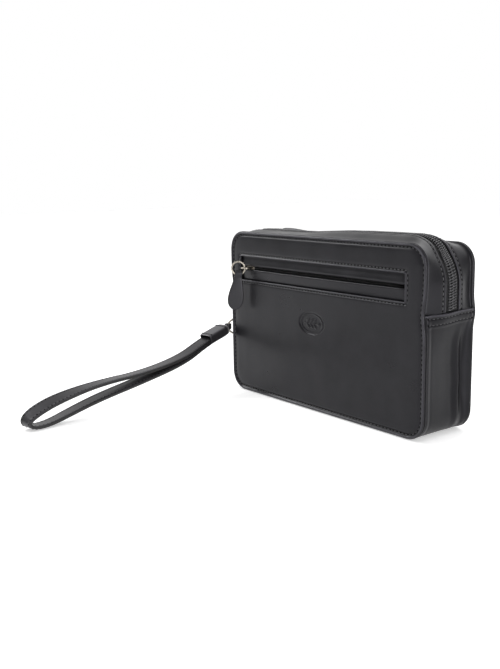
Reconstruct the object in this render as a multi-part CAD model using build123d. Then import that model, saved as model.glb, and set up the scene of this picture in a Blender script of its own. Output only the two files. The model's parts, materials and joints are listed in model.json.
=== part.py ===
from build123d import *
import math
import os

# A zipped leather wrist bag. Millimetres. The bag stands on its flat base: the origin is the
# middle of that base, +X runs along the front to the right, +Y from the front to the back, +Z up.

# ---- the bag's body ----
width = 220.0
height = 138.0
depth = 51.0
corner_r = 16.0
leather_t = 1.4  # front and back panels, and the gusset's wall
flange_t = 1.2  # what is sewn behind a panel's rim
lining_t = 0.6
board_t = 0.9
clear = 0.3  # kept between pieces that move past each other

# ---- the side and bottom gusset ----
gusset_inset = 0.5
gusset_corner_r = 15.5
hem_drop = 47.5  # from the panels' top edge to the gusset's turned top edge, over the zip's ends
tuck = 12.0  # how far the zip's ends go down under that hem
base_board_t = 1.2
board_margin = 3.0

# ---- the main zip, which runs over the top and down both sides ----
zip_rise = 1.0  # the zip's leather strips arch this far over the panels' top edge
strip_t = 1.2
seam_w = 4.5  # how far a strip's rim reaches in behind a panel's top edge
front_strip_edge = -5.8
back_strip_edge = 7.4
zip_y = 1.2
tape_t = 0.6
tape_under = 6.0  # how far a tape reaches under its leather strip
chain_gap = 2.0
coil_w = 2.7
coil_h = 2.2
stop_h = 2.0

# ---- the front pocket ----
window_margin_left = 15.0
window_margin_right = 19.0
window_drop = 21.5  # from the panel's top edge
window_tall = 19.0
window_corner_r = 1.5
slit_drop = 8.0  # from the window's top edge
slit_w = 2.2
welt_lap = 3.0  # how far a welt reaches behind the panel, round the window
welt_lip_t = 1.2
welt_proud = 1.1  # how far a welt swells forward into the window
welt_fit = 0.2  # round the swell, inside the window
pocket_coil_h = 1.8
pocket_coil_w = 2.2
pocket_chain_gap = 1.6
pocket_low = 16.0
pocket_margin = 17.0
pocket_room = 4.6  # front to back
emblem_x = -5.0
emblem_drop = 27.5  # from the window's lower edge to the emblem's middle
emblem_w = 30.0
emblem_h = 18.0
emblem_sunk = 0.35

# ---- sliders ----
plate_t = 1.2
lip_t = 0.8
main_slider_l = 13.0
pocket_slider_l = 9.0
pocket_slider_in = 9.0  # from the window's left edge to the closed slider's middle
bridge_w = 1.4
bridge_l = 8.4
bridge_hole_l = 5.4
bridge_hole_h = 2.3
bridge_roof = 1.1
bridge_stand = 2.0  # from the front leather to the pocket slider's bridge hole

# ---- pulls: a round wire ring and a leather tab ----
pull_ring_r = 5.5
pull_wire_r = 0.75
tab_l = 34.0
tab_top_w = 6.4
tab_low_w = 13.6
tab_t = 2.6
tab_ply = 0.8  # the leather round the tunnel that the ring runs through
tunnel_half = 1.8  # half the tunnel's thickness, front to back of the tab
tunnel_low = -1.0  # the tunnel's floor and roof, from the wire's middle
tunnel_high = 2.9
pocket_tab_lean = 8.0  # degrees that the pocket's tab hangs out of the upright
pocket_ring_turn = 37.3  # degrees between the ring's plane and straight out of the front
main_ring_drop = 35.0  # degrees between the ring's plane and straight down

# ---- the wrist strap ----
strap_w = 12.0
strap_t = 2.6
strap_ring_r = 6.5
strap_wire_r = 0.9
strap_eye_r = 1.85
strap_eye_wall = 1.3
strap_eye_h = 5.0
anchor_y = -11.0
anchor_z = 52.0
anchor_out = 5.0  # from the gusset's wall to the ring's pivot
anchor_w = 12.0
anchor_h = 15.0
anchor_t = 1.8
ring_lead = 35.0  # degrees, from straight forward towards the left
strap_lead = -6.4  # degrees, the same way
sleeve_l = 30.0
sleeve_t = 1.2
sleeve_slope = 17.0
ply_gap = 0.4
# the strap's middle line, in distance from the ring and height: out along the top, back below
strap_route = [
    (7.0, 51.5),
    (30.0, 44.5),
    (54.0, 34.6),
    (95.0, 28.0),
    (140.0, 27.6),
    (174.0, 21.5),
    (193.0, 13.4),
    (199.6, 6.6),
    (194.6, 1.7),
    (180.0, 2.2),
    (164.0, 8.0),
    (138.0, 16.0),
    (95.0, 23.6),
    (54.0, 31.3),
    (30.0, 41.2),
    (7.0, 48.2),
]
strap_bends = [40.0, 60.0, 120.0, 120.0, 26.0, 7.5, 3.2, 6.0, 30.0, 40.0, 120.0, 120.0, 60.0, 40.0]

# ---- places worked out from the sizes above ----
front = -depth / 2
back = depth / 2
panel_back = front + leather_t
flange_back = panel_back + clear + flange_t
hem_z = height - hem_drop
window_left = -width / 2 + window_margin_left
window_right = width / 2 - window_margin_right
window_high = height - window_drop
window_low = window_high - window_tall
slit_high = window_high - slit_drop
slit_low = slit_high - slit_w
pocket_side = width / 2 - pocket_margin
pocket_slider_x = window_left + pocket_slider_in
emblem_z = window_low - emblem_drop
main_plate_w = chain_gap + 2 * (coil_w + clear + lip_t)
pocket_plate_w = pocket_chain_gap + 2 * (pocket_coil_w + clear + lip_t)
tab_head_high = tunnel_high + tab_ply
strip_inset = gusset_inset + leather_t + clear
tape_inset = strip_inset + strip_t
tape_x = width / 2 - tape_inset
lining_inset = tape_inset + tape_t + clear
slit_z = (slit_low + slit_high) / 2
lip_back = panel_back + welt_lip_t
pocket_tape_y = lip_back + clear + plate_t + clear + pocket_coil_h
pocket_bag_y = pocket_tape_y + tape_t + clear + plate_t + clear
front_lining_y = pocket_bag_y + 2 * lining_t + pocket_room + clear
welt_step = pocket_plate_w / 2 + clear  # half the room behind the welts' lips for the slider


def upright(face, y0, y1):
    """A face drawn in X and Z, made solid from depth y0 to depth y1."""
    return extrude(Plane.XZ.offset(-y1) * face, y1 - y0)


def block(x0, x1, y0, y1, z0, z1):
    """A box between two corners."""
    return Pos((x0 + x1) / 2, (y0 + y1) / 2, (z0 + z1) / 2) * Box(x1 - x0, y1 - y0, z1 - z0)


def frame_face(side, low, high, radius):
    """A rounded rectangle inset by side at both sides, between two heights."""
    return Pos(0, (low + high) / 2) * RectangleRounded(width - 2 * side, high - low, radius)


def panel_face(inset=0.0):
    """The outline of the front and back panels, inset all round."""
    return frame_face(inset, inset, height - inset, corner_r - inset)


def over(z):
    """A tall rectangle that keeps what lies above height z."""
    return Pos(0, z + height) * Rectangle(2 * width, 2 * height)


def under(z):
    """A tall rectangle that keeps what lies below height z."""
    return Pos(0, z - height) * Rectangle(2 * width, 2 * height)


def save(name, shape):
    """Write one node."""
    export_step(shape, f"parts/{name}.step")
    print(f"{name}: {shape.volume:.0f} mm3")


# ---- panels ----
def window_face(grow=0.0):
    """The pocket's window in the front panel, grown to take the square-cornered welts."""
    wide = window_right - window_left + 2 * grow
    tall = window_high - window_low + 2 * grow
    middle = Pos((window_left + window_right) / 2, (window_low + window_high) / 2)
    if grow > 0:
        return middle * Rectangle(wide, tall)
    return middle * RectangleRounded(wide, tall, window_corner_r + grow)


def front_panel():
    """The front leather, with the pocket's window and a sunk oval for an emblem."""
    oval = Pos(emblem_x, emblem_z) * Ellipse(emblem_w / 2, emblem_h / 2)
    leather = upright(panel_face() - window_face(), front, panel_back)
    return leather - upright(oval, front - 1, front + emblem_sunk)


def front_board():
    """The stiffener behind the front leather, cut away round the pocket's zip."""
    inset = strip_inset + strip_t + board_margin
    face = panel_face(inset) - window_face(welt_lap + clear)
    return upright(face, panel_back, panel_back + board_t)


def front_lining():
    """The flat lining between the front pocket and the bag's inside."""
    face = panel_face(lining_inset + lining_t + clear)
    return upright(face, front_lining_y, front_lining_y + lining_t)


def back_panel():
    """The back leather."""
    return upright(panel_face(), back - leather_t, back)


def back_board():
    """The stiffener inside the back leather."""
    inset = strip_inset + strip_t + board_margin
    return upright(panel_face(inset), back - leather_t - board_t, back - leather_t)


def back_lining():
    """The flat lining over the back's stiffener."""
    outer = back - leather_t - board_t - clear
    return upright(panel_face(lining_inset + lining_t + clear), outer - lining_t, outer)


# ---- gusset ----
def gusset_face(shrink=0.0, low=0.0):
    """The gusset's outline, made smaller by shrink at the sides and starting at height low."""
    side = gusset_inset + shrink
    return frame_face(side, low, height - side, gusset_corner_r - shrink)


def side_gusset():
    """One leather band up the left side, along the bottom and up the right side."""
    inner = gusset_face(leather_t, leather_t)
    wall = (gusset_face() - inner) & under(hem_z)
    rim = (panel_face() - inner) & under(hem_z)
    reach = panel_back + clear
    band = upright(wall, reach, -panel_back)
    return band + upright(rim, reach, flange_back) + upright(rim, -flange_back, -panel_back)


def base_board():
    """The stiffener that lies in the gusset's bottom."""
    half = width / 2 - gusset_inset - gusset_corner_r
    low = leather_t + 0.05
    return block(-half, half, flange_back + clear, -flange_back - clear, low, low + base_board_t)


def gusset_lining():
    """The lining inside the gusset and over its stiffener."""
    outer_side = lining_inset
    low = leather_t + base_board_t + 2 * clear
    r = gusset_corner_r - (lining_inset - gusset_inset)
    outer = frame_face(outer_side, low, height, r)
    inner = frame_face(outer_side + lining_t, low + lining_t, height, r - lining_t)
    face = (outer - inner) & under(hem_z - 1.5)
    return upright(face, flange_back + clear, back - leather_t - board_t - clear - lining_t)


# ---- main zip ----
def zip_face(sunk):
    """The zip's route over the top and down the sides, sunk under the strips' outer faces."""
    return frame_face(strip_inset + sunk, -height, height + zip_rise - sunk, gusset_corner_r - sunk)


def zip_band(sunk, thick, low):
    """A band along the zip's route, with its ends cut at height low."""
    return (zip_face(sunk) - zip_face(sunk + thick)) & over(low)


def zip_strip(edge, sign):
    """A leather strip from a panel's rim to the zip: sign is -1 at the front, 1 at the back."""
    near = -flange_back * sign
    panel_side = -panel_back * sign
    strip = upright(zip_band(0, strip_t, hem_z - tuck), min(near, edge), max(near, edge))
    inner = frame_face(strip_inset + strip_t, -height, height - seam_w, gusset_corner_r - strip_t)
    rim = (panel_face() - inner) & over(hem_z + clear)
    turned = rim + zip_band(0, strip_t, hem_z + clear)
    return strip + upright(turned, min(near, panel_side), max(near, panel_side))


def zip_tape(edge, sign):
    """A woven tape that reaches from under a strip to the middle of the zip."""
    inner = zip_y + sign * chain_gap / 2
    outer = edge + sign * tape_under
    band = zip_band(strip_t, tape_t, hem_z - tuck)
    return upright(band, min(inner, outer), max(inner, outer))


def zip_coil(sign, low):
    """One half of the coil chain, as a plain bar on the outside of its tape."""
    inner = zip_y + sign * chain_gap / 2
    outer = inner + sign * coil_w
    band = zip_band(strip_t - coil_h, coil_h, low)
    return upright(band, min(inner, outer), max(inner, outer))


def main_stop(side):
    """The stop at one end of the chain, clamped on the back half: side is -1 left, 1 right."""
    y0 = zip_y + chain_gap / 2 - 0.6
    z0 = hem_z + 0.5
    x = sorted([side * tape_x, side * (tape_x + coil_h + 0.2)])
    return block(x[0], x[1], y0, y0 + coil_w + 0.6, z0, z0 + stop_h)


# ---- front pocket ----
def pocket_welt(sign):
    """The leather lip above the slit (sign 1) or below it (sign -1), stepped to clear the slider."""
    lip_z = slit_high if sign > 0 else slit_low
    window_z = window_high if sign > 0 else window_low
    far_z = window_z + sign * welt_lap
    step_z = slit_z + sign * welt_step
    x0 = window_left - welt_lap
    x1 = window_right + welt_lap
    lip = block(x0, x1, panel_back, lip_back, min(lip_z, far_z), max(lip_z, far_z))
    root = block(x0, x1, lip_back, pocket_tape_y, min(step_z, far_z), max(step_z, far_z))
    z = sorted([lip_z, window_z])
    swell = block(window_left, window_right, panel_back - welt_proud, panel_back, z[0], z[1])
    swell &= upright(window_face(-welt_fit), panel_back - welt_proud, panel_back)
    side = [e for e in swell.edges().filter_by(Axis.X) if e.center().Y < panel_back - 0.1]
    return lip + root + fillet(side, 0.7 * welt_proud)


def pocket_tape(sign):
    """The zip tape that hangs on a welt."""
    inner = slit_z + sign * pocket_chain_gap / 2
    outer = window_high + welt_lap if sign > 0 else window_low - welt_lap
    z = sorted([inner, outer])
    x0 = window_left - welt_lap
    x1 = window_right + welt_lap
    return block(x0, x1, pocket_tape_y, pocket_tape_y + tape_t, z[0], z[1])


def pocket_coil(sign):
    """One half of the pocket's chain."""
    inner = slit_z + sign * pocket_chain_gap / 2
    z = sorted([inner, inner + sign * pocket_coil_w])
    x0 = window_left + 2.0 + stop_h
    x1 = window_right - 2.0 - stop_h
    return block(x0, x1, pocket_tape_y - pocket_coil_h, pocket_tape_y, z[0], z[1])


def pocket_stop(x0):
    """A stop across the pocket's chain, starting at x0."""
    half = pocket_chain_gap / 2 + pocket_coil_w
    y0 = pocket_tape_y - pocket_coil_h
    return block(x0, x0 + stop_h, y0, pocket_tape_y, slit_z - half, slit_z + half)


def pocket_bag():
    """The cloth pocket behind the zip: a flat bag whose front wall stops under the zip."""
    x = pocket_side
    z1 = window_high + welt_lap
    y0 = pocket_bag_y
    y1 = y0 + 2 * lining_t + pocket_room
    outer = block(-x, x, y0, y1, pocket_low, z1)
    t = lining_t
    room = block(-x + t, x - t, y0 + t, y1 - t, pocket_low + t, z1 - t)
    mouth = block(-x + t, x - t, y0 - 1, y0 + t, window_low - welt_lap, z1 - t)
    top = block(-x, x, pocket_tape_y + tape_t, y0, z1 - 2.0, z1)
    low_z = window_low - welt_lap
    low = block(-x, x, pocket_tape_y + tape_t, y0, low_z - 1.0, low_z + 1.0)
    sill = block(-x, x, y0, y0 + t, low_z - 1.0, low_z)
    return outer - room - mouth + top + low + sill


# ---- sliders, each drawn flat: X across the chain, Y along it, Z outward from the tape ----
def slider(plate_w, length, chain_h, neck, lips):
    """Two plates round the chain, joined by a post at the open end, with a bridge on top."""
    top = chain_h + clear
    shell = block(-plate_w / 2, plate_w / 2, -length / 2, length / 2, top, top + plate_t)
    low = -tape_t - clear
    shell += block(-plate_w / 2, plate_w / 2, -length / 2, length / 2, low - plate_t, low)
    shell += block(-0.45, 0.45, -length / 2, -length / 2 + 2.0, low, top)
    for side in lips:
        x = sorted([side * plate_w / 2, side * (plate_w / 2 - lip_t)])
        shell += block(x[0], x[1], -length / 2, length / 2, clear + 0.2, top)
    base = top + plate_t
    rise = neck + bridge_hole_h + bridge_roof
    bridge = block(-bridge_w / 2, bridge_w / 2, -bridge_l / 2, bridge_l / 2, base, base + rise)
    hole_z = base + neck
    half = bridge_hole_l / 2
    bridge -= block(-bridge_w, bridge_w, -half, half, hole_z, hole_z + bridge_hole_h)
    return shell + bridge


def bridge_reach(chain_h, neck):
    """Height of the middle of a slider's bridge hole above the tape."""
    return chain_h + clear + plate_t + neck + bridge_hole_h / 2


main_neck = 0.4
pocket_neck = lip_back + clear - front + bridge_stand
main_slider_z = hem_z + 0.5 + stop_h + 0.5 + main_slider_l / 2
main_pivot = Vector(-tape_x - bridge_reach(coil_h, main_neck), zip_y, main_slider_z)
pocket_pivot_y = pocket_tape_y - bridge_reach(pocket_coil_h, pocket_neck)
pocket_pivot = Vector(pocket_slider_x, pocket_pivot_y, slit_z)


def main_slider():
    """The main zip's slider, at the low end of the zip on the left side."""
    seat = Plane((-tape_x, zip_y, main_slider_z), x_dir=(0, -1, 0), z_dir=(-1, 0, 0))
    body = slider(main_plate_w, main_slider_l, coil_h, main_neck, [-1])
    return seat.location * body


def pocket_slider():
    """The front pocket's slider, at the left end of the slit."""
    seat = Plane((pocket_slider_x, pocket_tape_y, slit_z), x_dir=(0, 0, -1), z_dir=(0, -1, 0))
    body = slider(pocket_plate_w, pocket_slider_l, pocket_coil_h, pocket_neck, [-1, 1])
    return seat.location * body


# ---- pulls ----
def ring_at(pivot, out, along, ring_r, wire_r):
    """A wire ring whose near side passes through pivot: out points at its middle."""
    normal = out.cross(along)
    middle = pivot + out * ring_r
    return Plane(middle, x_dir=out, z_dir=normal).location * Torus(ring_r, wire_r)


def pull_tab(eye, face_dir, across, lean=0.0):
    """A leather tab that hangs from a ring's wire: its doubled head is a tunnel along across."""
    low = tab_head_high - tab_l
    foot = tab_low_w / 2
    head = tab_top_w / 2
    outline = Polyline(
        (-head, tunnel_low), (head, tunnel_low), (foot, low + foot), (foot, low), (-foot, low),
        (-foot, low + foot), close=True,
    )
    face = make_face(outline)
    face = fillet(face.vertices().filter_by_position(Axis.Y, low - 0.1, low + 0.1), 0.9 * foot)
    blade = extrude(face, tab_t / 2, both=True)
    high = tab_head_high
    bottom = tunnel_low - tab_ply
    middle = (high + bottom) / 2
    thick = 2 * (tunnel_half + tab_ply)
    fold = RectangleRounded(thick, high - bottom, 0.45 * thick)
    tunnel = RectangleRounded(2 * tunnel_half, high - bottom - 2 * tab_ply, 0.9 * tunnel_half)
    loop = Plane.YZ * Pos(middle, 0) * Rot(0, 0, 90) * (fold - tunnel)
    seat = Plane(eye, x_dir=across, z_dir=face_dir)
    return seat.location * Rot(0, 0, lean) * (blade + extrude(loop, head, both=True))


turn = math.radians(pocket_ring_turn)
pocket_out = Vector(-math.sin(turn), -math.cos(turn), 0)
pocket_across = Vector(-pocket_out.Y, pocket_out.X, 0)
pocket_eye = pocket_pivot + pocket_out * pull_ring_r - Vector(0, 0, pull_ring_r)
drop = math.radians(main_ring_drop)
main_out = Vector(-math.sin(drop), 0, -math.cos(drop))
main_eye = main_pivot + main_out * 2 * pull_ring_r


# ---- wrist strap ----
lead = math.radians(ring_lead)
anchor_pivot = Vector(-width / 2 + gusset_inset - anchor_out, anchor_y, anchor_z)
strap_ring_out = Vector(-math.sin(lead), -math.cos(lead), 0)
strap_eye = anchor_pivot + strap_ring_out * 2 * strap_ring_r
aim = math.radians(strap_lead)
strap_out = Vector(-math.sin(aim), -math.cos(aim), 0)
strap_side = Vector(-strap_out.Y, strap_out.X, 0)


def eye_tube(at):
    """A short upright tube of leather that a wire passes through."""
    ring = Circle(strap_eye_r + strap_eye_wall) - Circle(strap_eye_r)
    return Pos(at.X, at.Y, at.Z - strap_eye_h / 2) * extrude(ring, strap_eye_h)


def strap_anchor():
    """The leather tab on the left side of the gusset, with a loop for the ring."""
    wall_x = -width / 2 + gusset_inset
    y = anchor_pivot.Y
    z = anchor_pivot.Z
    pad = block(
        wall_x - anchor_t, wall_x, y - anchor_w / 2, y + anchor_w / 2, z - anchor_h / 2, z + anchor_h / 2
    )
    neck_end = anchor_pivot.X + strap_eye_r + 0.6
    half = strap_eye_wall
    h = strap_eye_h / 2
    neck = block(neck_end, wall_x - anchor_t / 2, y - half, y + half, z - h, z + h)
    return pad + neck + eye_tube(anchor_pivot)


def strap_sleeve():
    """The leather sleeve that holds the strap's two ends and loops round the ring."""
    room_w = strap_w + 2 * 0.1
    room_h = 2 * strap_t + ply_gap + 0.6
    start = strap_eye_r + 0.6
    slope = math.radians(sleeve_slope)
    down = Vector(strap_out.X * math.cos(slope), strap_out.Y * math.cos(slope), -math.sin(slope))
    seat = Plane(strap_eye, x_dir=down, z_dir=strap_side.cross(down) * -1)
    long_mid = (start + sleeve_l) / 2
    body = Pos(long_mid, 0, 0) * Box(sleeve_l - start, room_w + 2 * sleeve_t, room_h + 2 * sleeve_t)
    room = Pos(sleeve_l / 2 + 3.2, 0, 0) * Box(sleeve_l, room_w, room_h)
    nose = body.edges().filter_by(Axis.Z).sort_by(Axis.X)[:2]
    return seat.location * (chamfer(nose, 4.0) - room) + eye_tube(strap_eye)


def wrist_strap():
    """The strap: out from the sleeve, round a loop that lies on the table, and back."""
    line = FilletPolyline(*strap_route, radius=strap_bends)
    ribbon = make_face(offset(line, strap_t / 2, kind=Kind.ARC, side=Side.BOTH))
    origin = Vector(strap_eye.X, strap_eye.Y, 0)
    seat = Plane(origin, x_dir=strap_out, z_dir=strap_out.cross(Vector(0, 0, 1)))
    return extrude(seat * ribbon, strap_w / 2, both=True)


os.makedirs("parts", exist_ok=True)

save("front_panel", front_panel())
save("front_board", front_board())
save("front_lining", front_lining())
save("front_zip_strip", zip_strip(front_strip_edge, -1))
save("front_zip_tape", zip_tape(front_strip_edge, -1))
save("front_zip_coil", zip_coil(-1, hem_z + 0.5))
save("pocket_welt_upper", pocket_welt(1))
save("pocket_welt_lower", pocket_welt(-1))
save("pocket_tape_upper", pocket_tape(1))
save("pocket_tape_lower", pocket_tape(-1))
save("pocket_coil_upper", pocket_coil(1))
save("pocket_coil_lower", pocket_coil(-1))
save("pocket_stop_left", pocket_stop(window_left + 2.0))
save("pocket_stop_right", pocket_stop(window_right - 2.0 - stop_h))
save("pocket_bag", pocket_bag())

save("back_panel", back_panel())
save("back_board", back_board())
save("back_lining", back_lining())
save("back_zip_strip", zip_strip(back_strip_edge, 1))
save("back_zip_tape", zip_tape(back_strip_edge, 1))
save("back_zip_coil", zip_coil(1, hem_z + 0.5 + stop_h))
save("main_stop_left", main_stop(-1))
save("main_stop_right", main_stop(1))
save("side_gusset", side_gusset())
save("base_board", base_board())
save("gusset_lining", gusset_lining())
save("strap_anchor", strap_anchor())

save("pocket_slider", pocket_slider())
save("pocket_pull_ring", ring_at(pocket_pivot, pocket_out, Vector(0, 0, 1), pull_ring_r, pull_wire_r))
save("pocket_pull_tab", pull_tab(pocket_eye, pocket_across, -pocket_out, -pocket_tab_lean))
save("main_slider", main_slider())
save("main_pull_ring", ring_at(main_pivot, main_out, Vector(0, 1, 0), pull_ring_r, pull_wire_r))
save("main_pull_tab", pull_tab(main_eye, Vector(-1, 0, 0), Vector(0, -1, 0)))

save("strap_ring", ring_at(anchor_pivot, strap_ring_out, Vector(0, 0, 1), strap_ring_r, strap_wire_r))
save("strap_sleeve", strap_sleeve())
save("wrist_strap", wrist_strap())

print("pocket pivot", pocket_pivot, "eye", pocket_eye, "out", pocket_out)
print("main pivot", main_pivot, "eye", main_eye)
print("anchor pivot", anchor_pivot, "strap eye", strap_eye)
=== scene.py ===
# %% [markdown]
# # A zipped leather wrist bag
# The real bag is cut from thin smooth black leather: two stiff panels, a gusset between them, a zip that
# arches over the top, a zipped pocket in the front, and a wrist strap on a ring. The CAD model already
# holds the sizes and the moving parts. Each step below builds what the eye sees of one piece, in place,
# and lets it ride on the CAD body that moves it. Lengths are written in millimetres.

# %% Load the frame
import json
import math
import bmesh
import bpy
import numpy as np
from mathutils import Matrix, Vector, noise


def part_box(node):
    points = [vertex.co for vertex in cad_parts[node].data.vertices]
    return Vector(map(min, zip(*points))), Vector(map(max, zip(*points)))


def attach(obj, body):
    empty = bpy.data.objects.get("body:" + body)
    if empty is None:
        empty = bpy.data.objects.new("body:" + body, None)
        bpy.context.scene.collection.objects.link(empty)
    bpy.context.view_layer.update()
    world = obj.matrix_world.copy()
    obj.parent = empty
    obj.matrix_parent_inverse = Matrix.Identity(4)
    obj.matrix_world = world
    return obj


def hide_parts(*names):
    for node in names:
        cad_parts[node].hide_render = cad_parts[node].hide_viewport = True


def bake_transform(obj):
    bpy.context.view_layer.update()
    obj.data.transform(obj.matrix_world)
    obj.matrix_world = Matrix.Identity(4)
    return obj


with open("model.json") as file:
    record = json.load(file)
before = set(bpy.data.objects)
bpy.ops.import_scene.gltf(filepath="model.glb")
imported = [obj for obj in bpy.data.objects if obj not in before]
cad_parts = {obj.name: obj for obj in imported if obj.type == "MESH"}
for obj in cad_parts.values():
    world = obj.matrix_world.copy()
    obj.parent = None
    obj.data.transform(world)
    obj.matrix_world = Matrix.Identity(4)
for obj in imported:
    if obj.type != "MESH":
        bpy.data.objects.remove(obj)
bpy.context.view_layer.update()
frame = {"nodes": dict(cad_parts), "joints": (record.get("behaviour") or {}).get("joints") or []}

MM = 0.001
joints = {joint["name"]: joint for joint in frame["joints"]}


def box_mm(node):
    """Lowest and highest corner of a CAD node, in millimetres."""
    low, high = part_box(node)
    return np.array(low) / MM, np.array(high) / MM


# %% [markdown]
# ## Camera and light
# Black leather has almost no colour of its own: what is seen is what it reflects. So the room is white at
# the back, like a paper backdrop, and darker towards the front. One broad soft lamp hangs above, one
# stands high at the back, and two smaller ones stand left and right. Their light slides over the rolled
# rims and shows their shape. The camera is a long lens, a little above the bag, looking at its front
# right corner.

# %% Camera
camera_data = bpy.data.cameras.new("camera")
camera_data.lens = 45.5
camera_data.sensor_width = 36.0
camera_data.clip_start = 0.01
camera = bpy.data.objects.new("camera", camera_data)
bpy.context.scene.collection.objects.link(camera)
camera.location = Vector((482.7, -456.2, 183.5)) * MM
CAMERA_YAW, CAMERA_PITCH, CAMERA_ROLL = math.radians(52.8), math.radians(-10.6), math.radians(-0.99)
turn = Matrix.Rotation(CAMERA_YAW, 4, "Z") @ Matrix.Rotation(math.pi / 2 + CAMERA_PITCH, 4, "X")
camera.rotation_euler = (turn @ Matrix.Rotation(CAMERA_ROLL, 4, "Z")).to_euler()
bpy.context.scene.camera = camera
bpy.context.scene.view_settings.view_transform = "Standard"
print("camera at", camera.location)

# %% Room light
world = bpy.data.worlds.new("room")
bpy.context.scene.world = world
world.use_nodes = True
room = world.node_tree
facing = room.nodes.new("ShaderNodeVectorMath")
facing.operation = "DOT_PRODUCT"
facing.inputs[1].default_value = (-0.72, 0.68, 0.1)
room.links.new(room.nodes.new("ShaderNodeTexCoord").outputs["Generated"], facing.inputs[0])
backdrop = room.nodes.new("ShaderNodeMapRange")
for socket, value in zip(("From Min", "From Max", "To Min", "To Max"), (0.2, 0.8, 0.55, 1.0)):
    backdrop.inputs[socket].default_value = value
room.links.new(facing.outputs["Value"], backdrop.inputs["Value"])
room.links.new(backdrop.outputs["Result"], room.nodes["Background"].inputs["Strength"])
room.nodes["Background"].inputs["Color"].default_value = (1.0, 1.0, 1.0, 1)


def lamp(name, place, target, size, power):
    """A soft square lamp that faces a target. Places and sizes are in metres."""
    data = bpy.data.lights.new(name, "AREA")
    data.shape = "RECTANGLE"
    data.size, data.size_y = size
    data.energy = power
    light = bpy.data.objects.new(name, data)
    bpy.context.scene.collection.objects.link(light)
    light.location = place
    light.rotation_euler = (Vector(target) - Vector(place)).to_track_quat("-Z", "Y").to_euler()
    print(name, power, "W")


bag_middle = (0.0, 0.0, 0.07)
lamp("lamp_above", (0.0, 0.0, 1.7), bag_middle, (1.5, 1.5), 5.0)
lamp("lamp_back", (0.1, 1.0, 1.05), bag_middle, (1.6, 0.9), 6.5)
lamp("lamp_left", (-1.1, -0.45, 0.95), bag_middle, (0.7, 0.4), 8.0)
lamp("lamp_right", (1.2, -0.5, 0.35), bag_middle, (0.25, 0.7), 8.0)

# %% Floor
floor_mesh = bpy.data.meshes.new("floor")
FLOOR_HALF, FLOOR_DROP = 4.0, 0.0002  # metres
floor_corners = [(FLOOR_HALF * x, FLOOR_HALF * y, 0) for x, y in ((-1, -1), (1, -1), (1, 1), (-1, 1))]
floor_mesh.from_pydata(floor_corners, [], [(0, 1, 2, 3)])
floor = bpy.data.objects.new("floor", floor_mesh)
bpy.context.scene.collection.objects.link(floor)
floor.location.z = -FLOOR_DROP
paper = bpy.data.materials.new("pale_paper")
paper.use_nodes = True
paper_sockets = paper.node_tree.nodes["Principled BSDF"].inputs
paper_sockets["Base Color"].default_value = (0.93, 0.93, 0.93, 1)
paper_sockets["Roughness"].default_value = 0.9
paper_sockets["Emission Color"].default_value = (1.0, 1.0, 1.0, 1)
paper_sockets["Emission Strength"].default_value = 0.38
floor_mesh.materials.append(paper)

# %% [markdown]
# ## Making materials from nodes
# Every finish here is a Principled shader fed by small noise and cell patterns. They are placed by object
# coordinates, which are metres, so a scale of 1600 makes marks about 0.6 mm wide. That is how the grain
# keeps its real size on every piece, without unwrapping anything.

# %% Node helpers
def finish_base(name, **fixed):
    """A material with one Principled shader; fixed gives the sockets that are the same all over."""
    material = bpy.data.materials.new(name)
    material.use_nodes = True
    shader = material.node_tree.nodes["Principled BSDF"]
    for socket, value in fixed.items():
        shader.inputs[socket.replace("_", " ")].default_value = value
    return material, material.node_tree, shader


def node(tree, kind, **values):
    """Adds a node and sets its inputs or its own settings by name."""
    made = tree.nodes.new(kind)
    for key, value in values.items():
        if key.replace("_", " ") in made.inputs:
            made.inputs[key.replace("_", " ")].default_value = value
        else:
            setattr(made, key, value)
    return made


def placed(tree):
    """Object coordinates, which are metres."""
    return tree.nodes.new("ShaderNodeTexCoord").outputs["Object"]


def pattern(tree, where, scale, detail=2.0, kind="ShaderNodeTexNoise"):
    """A noise or cell pattern at a place."""
    made = node(tree, kind, Scale=scale, Detail=detail)
    tree.links.new(where, made.inputs["Vector"])
    return made.outputs["Distance" if kind == "ShaderNodeTexVoronoi" else "Fac"]


def spread(tree, value, low, high):
    """Turns a pattern's middle values into numbers from low to high."""
    made = node(tree, "ShaderNodeMapRange", From_Min=0.3, From_Max=0.7, To_Min=low, To_Max=high)
    tree.links.new(value, made.inputs["Value"])
    return made.outputs["Result"]


def blend_colours(tree, share, first, second):
    """Mixes two colours, or one colour with what is linked, by a share."""
    mix = node(tree, "ShaderNodeMix", data_type="RGBA")
    tree.links.new(share, mix.inputs["Factor"])
    for socket, colour in ((mix.inputs[6], first), (mix.inputs[7], second)):
        if isinstance(colour, tuple):
            socket.default_value = (*colour, 1)
        else:
            tree.links.new(colour, socket)
    return mix.outputs[2]


def bumps(tree, shader, layers):
    """Chains bump layers, each a (height, strength, depth in millimetres), into the shader's normal."""
    normal = None
    for height, strength, depth in layers:
        made = node(tree, "ShaderNodeBump", Strength=strength, Distance=depth * MM)
        tree.links.new(height, made.inputs["Height"])
        if normal:
            tree.links.new(normal, made.inputs["Normal"])
        normal = made.outputs["Normal"]
    tree.links.new(normal, shader.inputs["Normal"])
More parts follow.
